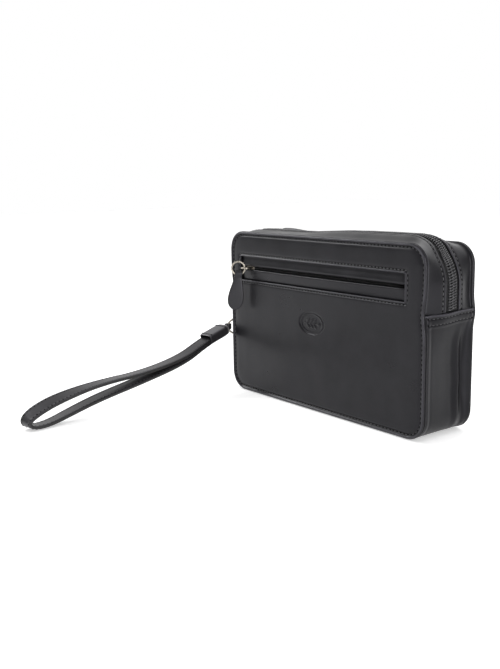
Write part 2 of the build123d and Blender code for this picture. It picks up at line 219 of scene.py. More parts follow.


# %% [markdown]
# ## Leather
# Smooth nappa leather is dyed nearly black, pressed, and given a thin satin finish. Three things make it
# read as leather: a fine pebble grain, a slow change of gloss from spot to spot, and edges that are
# rubbed a little paler. The paler places come from a number stored on the mesh where it was shaped; on
# the hem's top edge and the sleeve's top the same paler colour is a painted highlight.

# %% Leather finishes
def leather(name, dark, pale, gloss, grain, shine):
    """Satin leather: its two colours, its roughness range, the depth of its grain, and its shine."""
    tint = (0.93, 0.92, 1.0, 1)
    material, tree, shader = finish_base(
        name, Specular_IOR_Level=shine, Specular_Tint=tint, Coat_Weight=0.08, Coat_Roughness=0.22
    )
    where = placed(tree)
    cells = pattern(tree, where, 1500, kind="ShaderNodeTexVoronoi")
    fine = pattern(tree, where, 3400, 3.0)
    patches = pattern(tree, where, 55, 4.0)
    creases = pattern(tree, where, 210, 6.0)
    rubbed_and_highlight = node(tree, "ShaderNodeAttribute", attribute_name="rubbed_and_highlight")
    ground = blend_colours(tree, spread(tree, patches, 0, 1), dark, pale)
    # The paler colour of rubbed edges; the hem's top edge and the sleeve's top use it as a painted highlight.
    wear_and_highlight = tuple(7 * part for part in pale)
    tree.links.new(blend_colours(tree, rubbed_and_highlight.outputs["Fac"], ground, wear_and_highlight), shader.inputs["Base Color"])
    tree.links.new(spread(tree, patches, *gloss), shader.inputs["Roughness"])
    bumps(tree, shader, [(creases, 0.25, 0.12), (cells, grain, 0.05), (fine, 0.5 * grain, 0.02)])
    return material


BODY_DYE = (0.006, 0.0058, 0.0068), (0.010, 0.0097, 0.0112)
panel_leather = leather("satin_leather", *BODY_DYE, (0.27, 0.38), 0.22, 0.19)
gusset_hide = leather("gusset_leather", *BODY_DYE, (0.30, 0.42), 0.22, 0.10)
STRAP_DYE = (0.013, 0.0125, 0.0135), (0.021, 0.02, 0.022)
strap_leather = leather("strap_leather", *STRAP_DYE, (0.27, 0.38), 0.35, 0.36)
TAB_DYE = (0.011, 0.0108, 0.012), (0.017, 0.0165, 0.018)
tab_leather = leather("tab_leather", *TAB_DYE, (0.36, 0.48), 0.40, 0.3)


def painted_edge():
    """The raw edges of folded leather, filled with black edge paint that shows brush marks."""
    material, tree, shader = finish_base("edge_paint", Specular_IOR_Level=0.45)
    where = placed(tree)
    drag = pattern(tree, where, 700, 3.0)
    tree.links.new(
        blend_colours(tree, spread(tree, drag, 0, 1), (0.006, 0.006, 0.0065), (0.012, 0.0115, 0.012)),
        shader.inputs["Base Color"],
    )
    tree.links.new(spread(tree, drag, 0.3, 0.55), shader.inputs["Roughness"])
    bumps(tree, shader, [(drag, 0.4, 0.06)])
    return material


edge_paint = painted_edge()
print("leathers", panel_leather.name, strap_leather.name, tab_leather.name, edge_paint.name)

# %% [markdown]
# ## Thread, tape, zip and lining finishes
# Zip tape and lining are woven: wave patterns run along each axis, and their sum rises where a thread
# comes to the top. The other finishes have one fine pattern each: fuzzy thread, smooth glassy nylon
# coil, pressed fibre board, and warm nickel that is a little duller from spot to spot. The nylon is made
# twice: a paler copy with painted highlight for the main zip, and a near-black copy with painted shade
# for the pocket's zip inside its slit.

# %% Woven and metal finishes
def woven(name, first, second, threads, rough, sheen=0.0):
    """Plain weave: threads is how many go in one millimetre."""
    material, tree, shader = finish_base(name, Sheen_Weight=sheen, Sheen_Roughness=0.4)
    scale = threads * 1000 * 2 * math.pi / 20
    total = None
    for direction in ("X", "Y", "Z"):
        wave = node(tree, "ShaderNodeTexWave", bands_direction=direction, Scale=scale, Distortion=0.6)
        tree.links.new(placed(tree), wave.inputs["Vector"])
        height = wave.outputs["Fac"]
        if total:
            both = node(tree, "ShaderNodeMath", operation="ADD")
            tree.links.new(total, both.inputs[0])
            tree.links.new(height, both.inputs[1])
            height = both.outputs[0]
        total = height
    share = node(tree, "ShaderNodeMapRange", From_Min=0.6, From_Max=2.2, To_Min=0.0, To_Max=1.0)
    tree.links.new(total, share.inputs["Value"])
    height = share.outputs["Result"]
    fuzz = pattern(tree, placed(tree), 900, 3.0)
    tree.links.new(blend_colours(tree, height, first, second), shader.inputs["Base Color"])
    tree.links.new(spread(tree, fuzz, rough - 0.1, rough + 0.08), shader.inputs["Roughness"])
    bumps(tree, shader, [(height, 0.7, 0.12), (fuzz, 0.3, 0.04)])
    return material


zip_tape = woven("zip_tape", (0.003, 0.003, 0.0035), (0.008, 0.0078, 0.009), 1.6, 0.75, 0.1)
lining_cloth = woven("lining_cloth", (0.016, 0.016, 0.018), (0.034, 0.033, 0.036), 2.2, 0.62, 0.2)


def marked(name, first, second, scale, rough, depth, **fixed):
    """A finish with one fine pattern in its colour, gloss and surface."""
    material, tree, shader = finish_base(name, **fixed)
    marks = pattern(tree, placed(tree), scale, 4.0)
    tree.links.new(blend_colours(tree, spread(tree, marks, 0, 1), first, second), shader.inputs["Base Color"])
    tree.links.new(spread(tree, marks, *rough), shader.inputs["Roughness"])
    bumps(tree, shader, [(marks, 0.35, depth)])
    return material


thread = marked(
    "thread", (0.016, 0.016, 0.018), (0.042, 0.041, 0.045), 2600, (0.45, 0.7), 0.06, Sheen_Weight=0.15
)
# Painted light: one nylon in two copies, a paler lit one for the main zip's highlights and a near-black shaded
# one for the shade in the pocket's slit.
nylon_coil_lit = marked("nylon_coil_lit", (0.028, 0.0275, 0.03), (0.05, 0.049, 0.053), 800, (0.16, 0.28), 0.02)
nylon_coil_shaded = marked("nylon_coil_shaded", (0.004, 0.004, 0.0045), (0.009, 0.0088, 0.0095), 800, (0.3, 0.45), 0.02)
# Painted shade: near-black plugs in the needle holes stand in for the shadow inside each hole.
needle_hole_shade = marked(
    "needle_hole_shade", (0.001, 0.001, 0.001), (0.003, 0.003, 0.003), 900, (0.8, 1.0), 0.02, Specular_IOR_Level=0.1
)
black_metal = marked(
    "black_metal", (0.02, 0.02, 0.021), (0.05, 0.049, 0.05), 620, (0.3, 0.5), 0.02, Metallic=1.0
)
fibre_board = marked("fibre_board", (0.10, 0.085, 0.065), (0.16, 0.135, 0.10), 420, (0.75, 0.95), 0.08)
nickel = marked(
    "warm_nickel", (0.26, 0.235, 0.20), (0.50, 0.46, 0.40), 520, (0.22, 0.42), 0.02, Metallic=1.0
)
print("finishes", zip_tape.name, lining_cloth.name, thread.name, nylon_coil_lit.name, nickel.name)

# %% [markdown]
# ## Turning points into pieces
# Almost every part of a bag is a strip or a sheet, so two helpers make nearly all of it. One turns points
# and faces into an object that rides on a CAD body. The other joins rows of points into a closed skin,
# as a loft does. Working from rows keeps the quads even, so that one subdivision rounds them well.

# %% Piece helpers
def smooth_step(value):
    """Rises from 0 to 1 with soft ends."""
    share = np.clip(value, 0, 1)
    return share * share * (3 - 2 * share)


def hump(value, middle, width):
    """A bell curve of height 1."""
    return np.exp(-(((value - middle) / width) ** 2))


def settle(points):
    """The slump of the filled bag: its back edge dips, and its sides are drawn in at the hems."""
    x, y, z = np.asarray(points, float).T.copy()
    behind, before = smooth_step((y - 4) / 18), smooth_step((-4 - y) / 18)
    side = np.sign(x) * smooth_step((np.abs(x) - 85) / 22)
    dip = 0.7 * hump(x, -88, 14) - 1.4 * hump(x, -50, 26) - 2.0 * smooth_step((x - 50) / 28)
    z += behind * smooth_step((z - 76) / 62) * dip
    x += side * (1.6 * behind * hump(z, 87, 7) - 1.7 * before * hump(z, 90, 11))
    return np.stack([x, y, z], 1)


def thicken(piece, thickness, offset):
    """Makes a sheet this many millimetres thick; offset is -1 for all inward and 0 for half each way."""
    modifier = piece.modifiers.new("thickness", "SOLIDIFY")
    modifier.thickness, modifier.offset = thickness * MM, offset


def subdivide(piece, levels):
    """Rounds a piece by subdivision."""
    modifier = piece.modifiers.new("round", "SUBSURF")
    modifier.levels = modifier.render_levels = levels


def make_piece(name, points, faces, material, body, rounds=0, sharp=60, rubbed_and_highlight=None, soft=False):
    """A mesh from points in millimetres on a body; rounds is its subdivision, soft lets it slump."""
    mesh = bpy.data.meshes.new(name)
    points = settle(points) if soft else np.asarray(points, float)
    mesh.from_pydata([tuple(point) for point in points * MM], [], faces)
    # A stored share of the paler colour per point: rubbed edges, and painted highlights on the hem and sleeve.
    if rubbed_and_highlight is not None:
        wear_and_highlight = mesh.attributes.new("rubbed_and_highlight", "FLOAT", "POINT")
        wear_and_highlight.data.foreach_set("value", np.asarray(rubbed_and_highlight, np.float32))
    work = bmesh.new()
    work.from_mesh(mesh)
    if all(edge.is_manifold for edge in work.edges):
        bmesh.ops.recalc_face_normals(work, faces=work.faces)
    work.to_mesh(mesh)
    work.free()
    mesh.shade_smooth()
    mesh.set_sharp_from_angle(angle=math.radians(sharp))
    mesh.materials.append(material)
    piece = bpy.data.objects.new(name, mesh)
    bpy.context.scene.collection.objects.link(piece)
    if rounds:
        subdivide(piece, rounds)
    if body:
        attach(piece, body)
    print(f"{name}: {len(mesh.vertices)} points, {len(mesh.polygons)} faces")
    return piece


def only_used(faces, *rows):
    """Leaves out the points that no face uses, from the faces and from each row that goes with them."""
    used = sorted({corner for face in faces for corner in face})
    place = {old: new for new, old in enumerate(used)}
    kept_faces = [tuple(place[corner] for corner in face) for face in faces]
    return kept_faces, *([row[k] for k in used] for row in rows)


def circle(count):
    """Angles evenly round a circle."""
    return [2 * math.pi * k / count for k in range(count)]


def round_row(centre, first, second, count=6):
    """Points round a centre; the lengths of its two directions are its radii."""
    return [centre + math.cos(a) * first + math.sin(a) * second for a in circle(count)]


def both_sides(half):
    """A closed section from its first half: the second half is the same, turned by half a turn."""
    return half + [(-u, -w) for u, w in half]


def join_skins(skins):
    """Several (points, faces) skins as one."""
    points, faces = [], []
    for skin, quads in skins:
        faces += [tuple(corner + len(points) for corner in quad) for quad in quads]
        points += [tuple(point) for point in skin]
    return points, faces


def loft(rows, loop=False):
    """Points and faces of a skin over closed rows of points; loop joins the last row to the first."""
    rows = np.asarray(rows, float)
    count, around = rows.shape[:2]
    faces = []
    for i in range(count if loop else count - 1):
        a, b = i * around, ((i + 1) % count) * around
        for j in range(around):
            k = (j + 1) % around
            faces.append((a + j, a + k, b + k, b + j))
    if not loop:
        faces.append(tuple(range(around))[::-1])
        faces.append(tuple(range((count - 1) * around, count * around)))
    return rows.reshape(-1, 3), faces


def soft_noise(x, y, z, size, seed=0.0):
    """A slow random swell from -1 to 1; size is how wide its waves are, in millimetres."""
    return noise.noise(Vector((x / size + seed, y / size, z / size)))


# %% [markdown]
# ## The outline that everything follows
# Both panels, the gusset and the zip follow one rounded rectangle. So its outline is a function: give it
# a distance from the bottom middle and it returns the point there and the direction outward. A band is
# then a cross-section, drawn as inset and depth, carried along those distances. That is how the bag is
# really sewn, edge to edge round one pattern.

# %% The outline
front_low, front_high = box_mm("front_panel")
HALF_WIDE, TALL, FRONT, BACK = front_high[0], front_high[2], front_low[1], box_mm("back_panel")[1][1]
CORNER = 16.0
FLAT = HALF_WIDE - CORNER
SIDE = TALL - 2 * CORNER
ARC = CORNER * math.pi / 2
HALF_ROUND = 2 * FLAT + 2 * ARC + SIDE
HEM_HIGH = box_mm("side_gusset")[1][2]
HEM_AT = FLAT + ARC + HEM_HIGH - CORNER


def outline(distance):
    """x, z and the outward direction on the outline, at distances from its bottom middle, right first."""
    q = np.mod(np.asarray(distance, float), 2 * HALF_ROUND)
    s = np.where(q > HALF_ROUND, 2 * HALF_ROUND - q, q)
    low_turn = np.clip((s - FLAT) / CORNER, 0, math.pi / 2)
    high_turn = np.clip((s - FLAT - ARC - SIDE) / CORNER, 0, math.pi / 2)
    past = np.maximum(s - FLAT - 2 * ARC - SIDE, 0)
    x = np.minimum(s, FLAT) + CORNER * np.sin(low_turn) - CORNER * (1 - np.cos(high_turn)) - past
    z = CORNER * (1 - np.cos(low_turn)) + np.clip(s - FLAT - ARC, 0, SIDE) + CORNER * np.sin(high_turn)
    angle = low_turn + high_turn
    side = np.where(q > HALF_ROUND, -1, 1)
    return side * x, z, side * np.sin(angle), -np.cos(angle)


def inside_edge(x, z):
    """How far a point lies inside the outline."""
    across = np.abs(x) - FLAT
    up = np.abs(z - TALL / 2) - TALL / 2 + CORNER
    return CORNER - np.hypot(np.maximum(across, 0), np.maximum(up, 0)) - np.minimum(np.maximum(across, up), 0)


def band_rows(distances, section):
    """One row of points for each distance: section(distance, x, z) gives (inset, depth) pairs."""
    x, z, out_x, out_z = outline(distances)
    rows = []
    for i, distance in enumerate(distances):
        inset, depth = np.array(section(distance, x[i], z[i])).T
        rows.append(np.stack([x[i] - out_x[i] * inset, depth, z[i] - out_z[i] * inset], 1))
    return rows


print(f"outline {2 * HALF_ROUND:.1f} mm round, hem at {HEM_AT:.1f} mm")

# %% [markdown]
# ## Front panel
# The front is one piece of leather over a thin board, with its rim stitched down to the gusset behind
# it. Pulling the thread tight sinks a groove 3 mm inside the edge, and the leather outside it stands up
# as a soft roll. The pocket's window has a folded, stitched edge too. So the panel is a grid, close
# together at those places, and one function gives how far each point stands forward. The grid's corners
# are bent onto the round ones by a square-to-circle rule, which keeps all faces four-sided.

# %% Panel grid
upper_low, upper_high = box_mm("pocket_welt_upper")
lower_low, lower_high = box_mm("pocket_welt_lower")
WELT_LAP = 3.0
WINDOW_LEFT, WINDOW_RIGHT = upper_low[0] + WELT_LAP, upper_high[0] - WELT_LAP
WINDOW_HIGH, WINDOW_LOW = upper_high[2] - WELT_LAP, lower_low[2] + WELT_LAP
SLIT_HIGH, SLIT_LOW = upper_low[2], lower_high[2]
LEATHER = 1.4
EMBLEM_X, EMBLEM_Z, EMBLEM_WIDE, EMBLEM_TALL = -5.0, 70.0, 30.0, 18.0


FINE_STEP, FINE_REACH, COARSE_STEP, EMBLEM_STEP = 0.42, 4.0, 3.4, 0.55


def graded(low, high):
    """Grid lines from one feature to the next, close together near both."""
    steps, step = [0.0], FINE_STEP
    while steps[-1] + 1.5 * step < (high - low) / 2:
        steps.append(steps[-1] + step)
        step = min(1.35 * step, COARSE_STEP) if steps[-1] > FINE_REACH else FINE_STEP
    return [low + s for s in steps] + [high - s for s in reversed(steps)]


def grid_lines(features, fine_range=None):
    """Graded lines between sorted features; fine_range is one stretch with even fine lines."""
    lines = []
    for low, high in zip(features, features[1:]):
        even = (low, high) == fine_range
        stretch = [*np.arange(low, high, EMBLEM_STEP), high] if even else graded(low, high)
        lines += stretch[1:] if lines else stretch
    return np.array(lines)


def round_corners(x, z):
    """Moves the points of the square corners onto the round ones."""
    a = np.maximum(np.abs(x) - FLAT, 0) / CORNER
    b = np.maximum(np.abs(z - TALL / 2) - TALL / 2 + CORNER, 0) / CORNER
    new_x = np.where(a > 0, FLAT + CORNER * a * np.sqrt(1 - b * b / 2), np.abs(x)) * np.sign(x)
    high = TALL / 2 - CORNER + CORNER * b * np.sqrt(1 - a * a / 2)
    from_middle = np.where(b > 0, high, np.abs(z - TALL / 2))
    return new_x, TALL / 2 + from_middle * np.sign(z - TALL / 2)


RIM_PROFILE = np.array([
    (0.0, -1.0), (0.4, -0.1), (1.0, 0.5), (1.6, 0.62), (2.2, 0.3), (2.8, -0.6), (3.2, -1.15),
    (3.6, -1.05), (4.2, -0.45), (5.4, 0.05), (9.0, 0.32), (20.0, 0.5), (69.0, 0.55),
]).T
FOLD_PROFILE = np.array([
    (0.0, -0.9), (0.35, 0.1), (0.85, 0.62), (1.35, 0.5), (1.9, -0.3), (2.3, -0.75), (2.7, -0.6), (3.4, -0.1),
    (4.8, 0.0),
]).T


def outside_window(x, z):
    """How far a point of the front lies outside the pocket's window."""
    across = np.maximum(WINDOW_LEFT - x, x - WINDOW_RIGHT)
    up = np.maximum(WINDOW_LOW - z, z - WINDOW_HIGH)
    return np.where((across > 0) & (up > 0), np.hypot(across, up), np.maximum(across, up))


def leather_swell(x, z, seed):
    """The slow waves of soft leather over its board, fading out at the sewn rim."""
    inside = float(smooth_step(inside_edge(x, z) / 14))
    return inside * (0.30 * soft_noise(x, 0, z, 46, seed) + 0.10 * soft_noise(x, 0, z, 15, seed + 5))


# %% The emblem
def leaf(x, z, root_x, root_z, angle, length, width):
    """1 inside a pointed leaf, falling to 0 at its edge."""
    along = (x - root_x) * math.cos(angle) + (z - root_z) * math.sin(angle)
    off = abs(-(x - root_x) * math.sin(angle) + (z - root_z) * math.cos(angle))
    if not 0 < along < length:
        return 0.0
    edge = width / 2 * math.sin(math.pi * along / length) - off
    return float(np.clip(edge / 0.45, 0, 1))


def emblem_relief(x, z):
    """A pressed oval with a plain leaf sprig: forward height in millimetres."""
    dx, dz = x - EMBLEM_X, z - EMBLEM_Z
    ring = math.hypot(dx / (EMBLEM_WIDE / 2), dz / (EMBLEM_TALL / 2))
    if ring > 1.05:
        return 0.0
    sunk = -0.8 * float(smooth_step((1.02 - ring) / 0.09))
    raised = 0.6 * float(hump(ring, 0.84, 0.045))
    stem = float(np.clip((0.35 - abs(dz)) / 0.3, 0, 1)) if abs(dx) < 9 else 0.0
    leaves = [leaf(dx, dz, 5.5, 0, 0, 5.0, 2.6)]
    for root in (-6.5, -2.5, 1.5):
        leaves += [leaf(dx, dz, root, 0.2 * up, up * 0.75, 5.6, 2.4) for up in (1, -1)]
    return sunk + raised + 0.6 * max(stem, *leaves)


# %% Panels
def panel(name, node_name, body, face_y, forward, window):
    """A panel: its outer face is a grid at face_y, standing out towards forward (-1 front, 1 back)."""
    if window:
        oval = (EMBLEM_X - EMBLEM_WIDE / 2 - 1, EMBLEM_X + EMBLEM_WIDE / 2 + 1)
        oval_z = (EMBLEM_Z - EMBLEM_TALL / 2 - 1, EMBLEM_Z + EMBLEM_TALL / 2 + 1)
        xs = grid_lines([-HALF_WIDE, WINDOW_LEFT, *oval, WINDOW_RIGHT, HALF_WIDE], oval)
        zs = grid_lines([0, *oval_z, WINDOW_LOW, WINDOW_HIGH, TALL], oval_z)
    else:
        xs = grid_lines([-HALF_WIDE, -40, 40, HALF_WIDE])
        zs = grid_lines([0, TALL / 2, TALL])
    points, rubbed_and_highlight = [], []
    for flat_x in xs:
        for flat_z in zs:
            x, z = (float(v) for v in round_corners(flat_x, flat_z))
            edge = float(inside_edge(x, z))
            height = float(np.interp(edge, *RIM_PROFILE)) + leather_swell(x, z, 3.0 if window else 9.0)
            wear = hump(edge, 1.4, 0.7) * (0.55 + 0.4 * soft_noise(x, 0, z, 9, 2))
            if window:
                gap = max(float(outside_window(x, z)), 0.0)
                height += float(np.interp(gap, *FOLD_PROFILE)) + emblem_relief(x, z)
                wear += 0.4 * hump(gap, 0.9, 0.5)
            points.append((x, face_y + forward * height, z))
            rubbed_and_highlight.append(max(wear, 0))
    tall = len(zs)
    faces = []
    for i in range(len(xs) - 1):
        for j in range(tall - 1):
            middle = ((xs[i] + xs[i + 1]) / 2, (zs[j] + zs[j + 1]) / 2)
            if window and outside_window(*middle) < 0:
                continue
            a = i * tall + j
            quad = (a, a + tall, a + tall + 1, a + 1)
            faces.append(quad if forward < 0 else quad[::-1])
    faces, points, rubbed_and_highlight = only_used(faces, points, rubbed_and_highlight)
    piece = make_piece(name, points, faces, panel_leather, body, rubbed_and_highlight=rubbed_and_highlight, soft=True)
    thicken(piece, LEATHER, -1)
    subdivide(piece, 1)
    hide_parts(node_name)


panel("front_leather", "front_panel", "front_half", FRONT, -1, True)
panel("back_leather", "back_panel", "back_half", BACK, 1, False)

# %% [markdown]
# ## Stitches
# A lockstitch shows as a row of short threads, each sunk at both ends where it goes down its needle
# hole. One stitch is a small bent capsule, and each hole is a near-black plug, painted shade for the
# shadow inside the hole. A row copies them along a line and joins the copies into one piece, which rides
# with the leather it is sewn through. The line is sunk into the groove that the thread has pulled.

# %% Stitch rows
STITCH_PITCH, STITCH_LONG, THREAD_HALF, HOLE_HALF = 3.4, 2.0, 0.36, 0.78
RIM_ROW_IN, WINDOW_ROW_OUT, STRIP_ROW_IN = 3.35, 2.45, 3.0  # from each edge to the row beside it


def stitch_row(name, path, outward, body, soft=False):
    """Stitches along a path of points; outward is away from the leather, at each point or at all."""
    path = np.asarray(path, float)
    outward = np.broadcast_to(np.asarray(outward, float), path.shape)
    steps = np.linalg.norm(np.diff(path, axis=0), axis=1)
    travelled = np.concatenate([[0], np.cumsum(steps)])
    count = max(2, round(travelled[-1] / STITCH_PITCH))
    skins, hole_shade_faces, made = [], [], 0
    for step in range(2 * count + 1):
        middle = max(0.01, min(step * travelled[-1] / count / 2, travelled[-1] - 0.01))
        where = [np.interp([middle - 0.6, middle, middle + 0.6], travelled, path[:, k]) for k in range(3)]
        before, at, after = np.array(where).T
        along = (after - before) / np.linalg.norm(after - before)
        up = np.array([np.interp(middle, travelled, outward[:, k]) for k in range(3)])
        up = up - along * (up @ along)
        up /= np.linalg.norm(up)
        side = np.cross(along, up)
        rows = []
        if step % 2:
            for share in (-1, -0.8, -0.35, 0.35, 0.8, 1):
                radius = THREAD_HALF * (0.45 if abs(share) == 1 else 1)
                centre = at + along * share * STITCH_LONG / 2 + up * (0.16 - 0.42 * share ** 4)
                rows.append(round_row(centre, radius * side, radius * up))
        else:
            for rise, radius in ((-0.4, HOLE_HALF), (0.12, HOLE_HALF), (0.16, 0.5 * HOLE_HALF)):
                rows.append(round_row(at + up * rise, radius * side, 0.8 * radius * along))
        skins.append(loft(rows))
        quads = len(skins[-1][1])
        if step % 2 == 0:
            hole_shade_faces += range(made, made + quads)
        made += quads
    piece = make_piece(name, *join_skins(skins), thread, body, soft=soft)
    piece.data.materials.append(needle_hole_shade)
    for index in hole_shade_faces:
        piece.data.polygons[index].material_index = 1
    return piece


def panel_stitches(name, body, face_y, forward):
    """The row that sews a panel's rim down, 3 mm inside its edge."""
    distances = np.linspace(0, 2 * HALF_ROUND, 400)
    x, z, out_x, out_z = outline(distances)
    x, z = x - RIM_ROW_IN * out_x, z - RIM_ROW_IN * out_z
    sunk = face_y - forward * 0.95
    path = np.stack([x, np.full_like(x, sunk), z], 1)
    stitch_row(name, path, (0, forward, 0), body, soft=True)


panel_stitches("front_rim_stitches", "front_half", FRONT, -1)
panel_stitches("back_rim_stitches", "back_half", BACK, 1)


def window_stitches():
    """The row round the pocket's folded window edge."""
    left, right = WINDOW_LEFT - WINDOW_ROW_OUT, WINDOW_RIGHT + WINDOW_ROW_OUT
    low, high = WINDOW_LOW - WINDOW_ROW_OUT, WINDOW_HIGH + WINDOW_ROW_OUT
    corners = [(left, low), (left, high), (right, high), (right, low), (left, low)]
    path = []
    for (x0, z0), (x1, z1) in zip(corners, corners[1:]):
        for share in np.linspace(0, 1, 60, endpoint=False):
            x, z = x0 + (x1 - x0) * share, z0 + (z1 - z0) * share
            height = float(np.interp(inside_edge(x, z), *RIM_PROFILE)) + leather_swell(x, z, 3.0)
            path.append((x, FRONT - height + 0.55, z))
    path.append(path[0])
    stitch_row("window_stitches", path, (0, -1, 0), "front_half")


window_stitches()

# %% [markdown]
# ## Gusset
# One long band of leather makes both sides and the bottom. Its edges turn outward behind the panels and
# are sewn there, so a thin edge of it shows behind each rim. Between the seams it is soft and unlined by
# board, and sinks inward, with one upright fold near the back. At each top end the leather is turned
# over and stitched twice: that hem covers the ends of the zip. When the front opens, the band stretches
# between the two halves; here it is built once in place and rides on neither body.

# %% Gusset shape
GUSSET_INSET = 0.5
GUSSET_WALL = 1.0
SEAM_Y = BACK - LEATHER - 1.5
HEM_FOLD = 9.3
HEM_ROW_HIGH, HEM_ROW_LOW = 2.6, 7.0  # from the hem's edge down to its two rows of stitches
# How deep the wall sinks across its width, from the front seam to the back one
GUSSET_CREASED = np.array([
    (0, 0), (0.1, 0.15), (0.3, 0.45), (0.5, 0.8), (0.66, 1.0), (0.77, 0.42), (0.87, 1.1), (0.95, 0.6), (1, 0),
]).T
GUSSET_PLAIN = np.array([(0, 0), (0.12, 0.5), (0.3, 0.95), (0.5, 1), (0.7, 0.95), (0.88, 0.5), (1, 0)]).T
# How far the turned hem lies in from the wall, from its edge down, with a dip at each row of stitches
HEM_PROFILE = np.array([
    (0, 0.5), (0.4, -0.3), (1.2, -0.7), (2.2, -0.6), (HEM_ROW_HIGH, 0.05), (3.1, -0.5), (4.5, -0.65), (6.3, -0.5),
    (HEM_ROW_LOW, 0.05), (7.6, -0.5), (8.4, -0.6), (HEM_FOLD - 0.2, -0.4), (HEM_FOLD + 0.3, 0.0),
]).T


def hem_line(y):
    """How far the hem's edge lies below its highest place, which is at the back seam."""
    return 1.4 * float(smooth_step((16 - y) / 24))


def side_share(out_x):
    """0 on the bottom and 1 on the sides, soft round the corner."""
    return float(smooth_step(abs(out_x)))


def gusset_sink(distance, y, z, out_x):
    """How far the gusset's wall has sunk inward from its seams."""
    across = (y + SEAM_Y) / (2 * SEAM_Y)
    wandered = across + 0.28 * across * (1 - across) * soft_noise(distance, 0, 0, 26, 5.0)
    ridge = np.interp(wandered, *GUSSET_CREASED)
    plain = np.interp(across, *GUSSET_PLAIN)
    up = np.clip(z / HEM_HIGH, 0, 1)
    folded = float(smooth_step((0.97 - up) / 0.25))
    valley = folded * ridge + (1 - folded) * plain
    at_hem = -2.4 if distance > 0 else -1.0
    depth = np.interp(up, [0, 0.12, 0.35, 0.6, 0.8, 0.9, 1], [0.3, 1.6, 3.9, 4.0, 2.0, 0.0, at_hem])
    wave = 0.35 * soft_noise(distance, y, z, 24, 4.0) * min(1.0, 4 * across * (1 - across) + 0.1)
    return side_share(out_x) * (depth * valley + wave) + (1 - side_share(out_x)) * 0.1 * valley


def seam_roll(y):
    """The wall stands up in a soft roll beside each seam."""
    from_seam = SEAM_Y - abs(y)
    return 0.7 * float(hump(from_seam, 3.4, 0.7)) - 0.8 * float(hump(from_seam, 1.7, 0.9))


def gusset_section(distance, x, z):
    """The gusset's closed cross-section at a distance from the bottom's middle."""
    out_x = float(outline(distance)[2])
    share = side_share(out_x)
    wall = 0.3 + (GUSSET_INSET - 0.3) * share
    fold = np.interp(HEM_AT - abs(distance), *HEM_PROFILE)
    face = BACK - LEATHER - 0.1
    reach = 0.12
    flange = [(wall + 1.6, face), (0.5, face), (reach, face - 0.3), (reach, face - 0.9)]
    flange += [(min(wall, 0.4), SEAM_Y + 0.05), (max(wall - 0.5, min(wall, 0.42)), SEAM_Y)]
    depths = np.linspace(-SEAM_Y + 0.7, SEAM_Y - 0.7, 27)
    outer = [(wall + gusset_sink(distance, y, z, out_x) + share * (seam_roll(y) + fold), y) for y in depths]
    inner = [(wall + GUSSET_WALL + gusset_sink(distance, y, z, out_x), y) for y in depths[::-3]]
    front_flange = [(inset, -y) for inset, y in flange]
    return front_flange + outer + flange[::-1] + inner


def gusset_distances():
    """Distances along the gusset, fine at the hems."""
    hem = [0.02, 0.4, 0.8, 1.2, 1.8, 2.2, HEM_ROW_HIGH, 3.1, 3.8, 4.5, 5.4, 6.3, HEM_ROW_LOW, 7.6, 8.4,
           HEM_FOLD, HEM_FOLD + 0.5, 11.5]
    half = [HEM_AT - below for below in hem][::-1]
    plain = list(np.arange(0, half[0] - 1, 3.0))
    right = plain + half
    return [-d for d in right[:0:-1]] + right


points, faces = loft(band_rows(gusset_distances(), gusset_section))
for point in points:
    point[2] -= hem_line(point[1]) * float(smooth_step((point[2] - HEM_HIGH + 26) / 16))
# Painted highlight: the hem's top edge is made paler, standing in for the light line along its fold; the side
# seam rolls are made paler too.
hem_edge_highlight = hump(points[:, 2] + np.array([hem_line(y) for y in points[:, 1]]), HEM_HIGH - 0.6, 0.7)
at_seam = hump(SEAM_Y - np.abs(points[:, 1]), 1.7, 0.6) * (np.abs(points[:, 0]) > HALF_WIDE - 4)
rubbed_and_highlight = 0.75 * hem_edge_highlight + 0.35 * at_seam
gusset = make_piece("gusset_leather", points, faces, gusset_hide, None, rounds=1, rubbed_and_highlight=rubbed_and_highlight, soft=True)
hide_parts("side_gusset")
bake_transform(gusset)


# %% Hem stitches
def hem_row(name, below, side):
    """A row across one hem; side is 1 right, -1 left."""
    distance = side * (HEM_AT - below)
    x, z, out_x, out_z = (float(v) for v in outline(distance))
    path = []
    for y in np.linspace(-SEAM_Y + 1.4, SEAM_Y - 1.4, 40):
        inset = GUSSET_INSET + gusset_sink(distance, y, z, out_x) + seam_roll(y) + 0.05
        path.append((x - out_x * inset, y, z - hem_line(y)))
    row = stitch_row(name, path, (out_x, 0, 0), None, soft=True)
    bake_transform(row)


for side, word in ((1, "right"), (-1, "left")):
    hem_row(f"hem_stitches_{word}_high", HEM_ROW_HIGH, side)
    hem_row(f"hem_stitches_{word}_low", HEM_ROW_LOW, side)

# %% [markdown]
# ## Zip strips
# The zip is not sewn to the panels themselves. A narrow leather strip runs along each side of it, from
# behind a panel's rim to the zip, where its edge is folded under and stitched. On the sides the strips
# lie in from the rim; over the top they arch a little above it. Their ends go down behind the hem.

# %% Strip shape
ZIP_Y = (box_mm("front_zip_coil")[1][1] + box_mm("back_zip_coil")[0][1]) / 2
STRIP_FRONT_EDGE = box_mm("front_zip_strip")[1][1]
STRIP_BACK_EDGE = box_mm("back_zip_strip")[0][1]
TUCK = 12.0
STRIP_THICK = 1.2
# Over the right corner the zip cuts wide; on the left it stays close, because the slider runs there
LOOSE_RIGHT, LOOSE_LEFT = 30.0, 17.0
# How far the zip arches over the top edge, along x
RIDGE = [(-80, 0.7), (-28, 0.7), (-10, 2.0), (10, 3.0), (30, 3.5), (60, 3.7)]


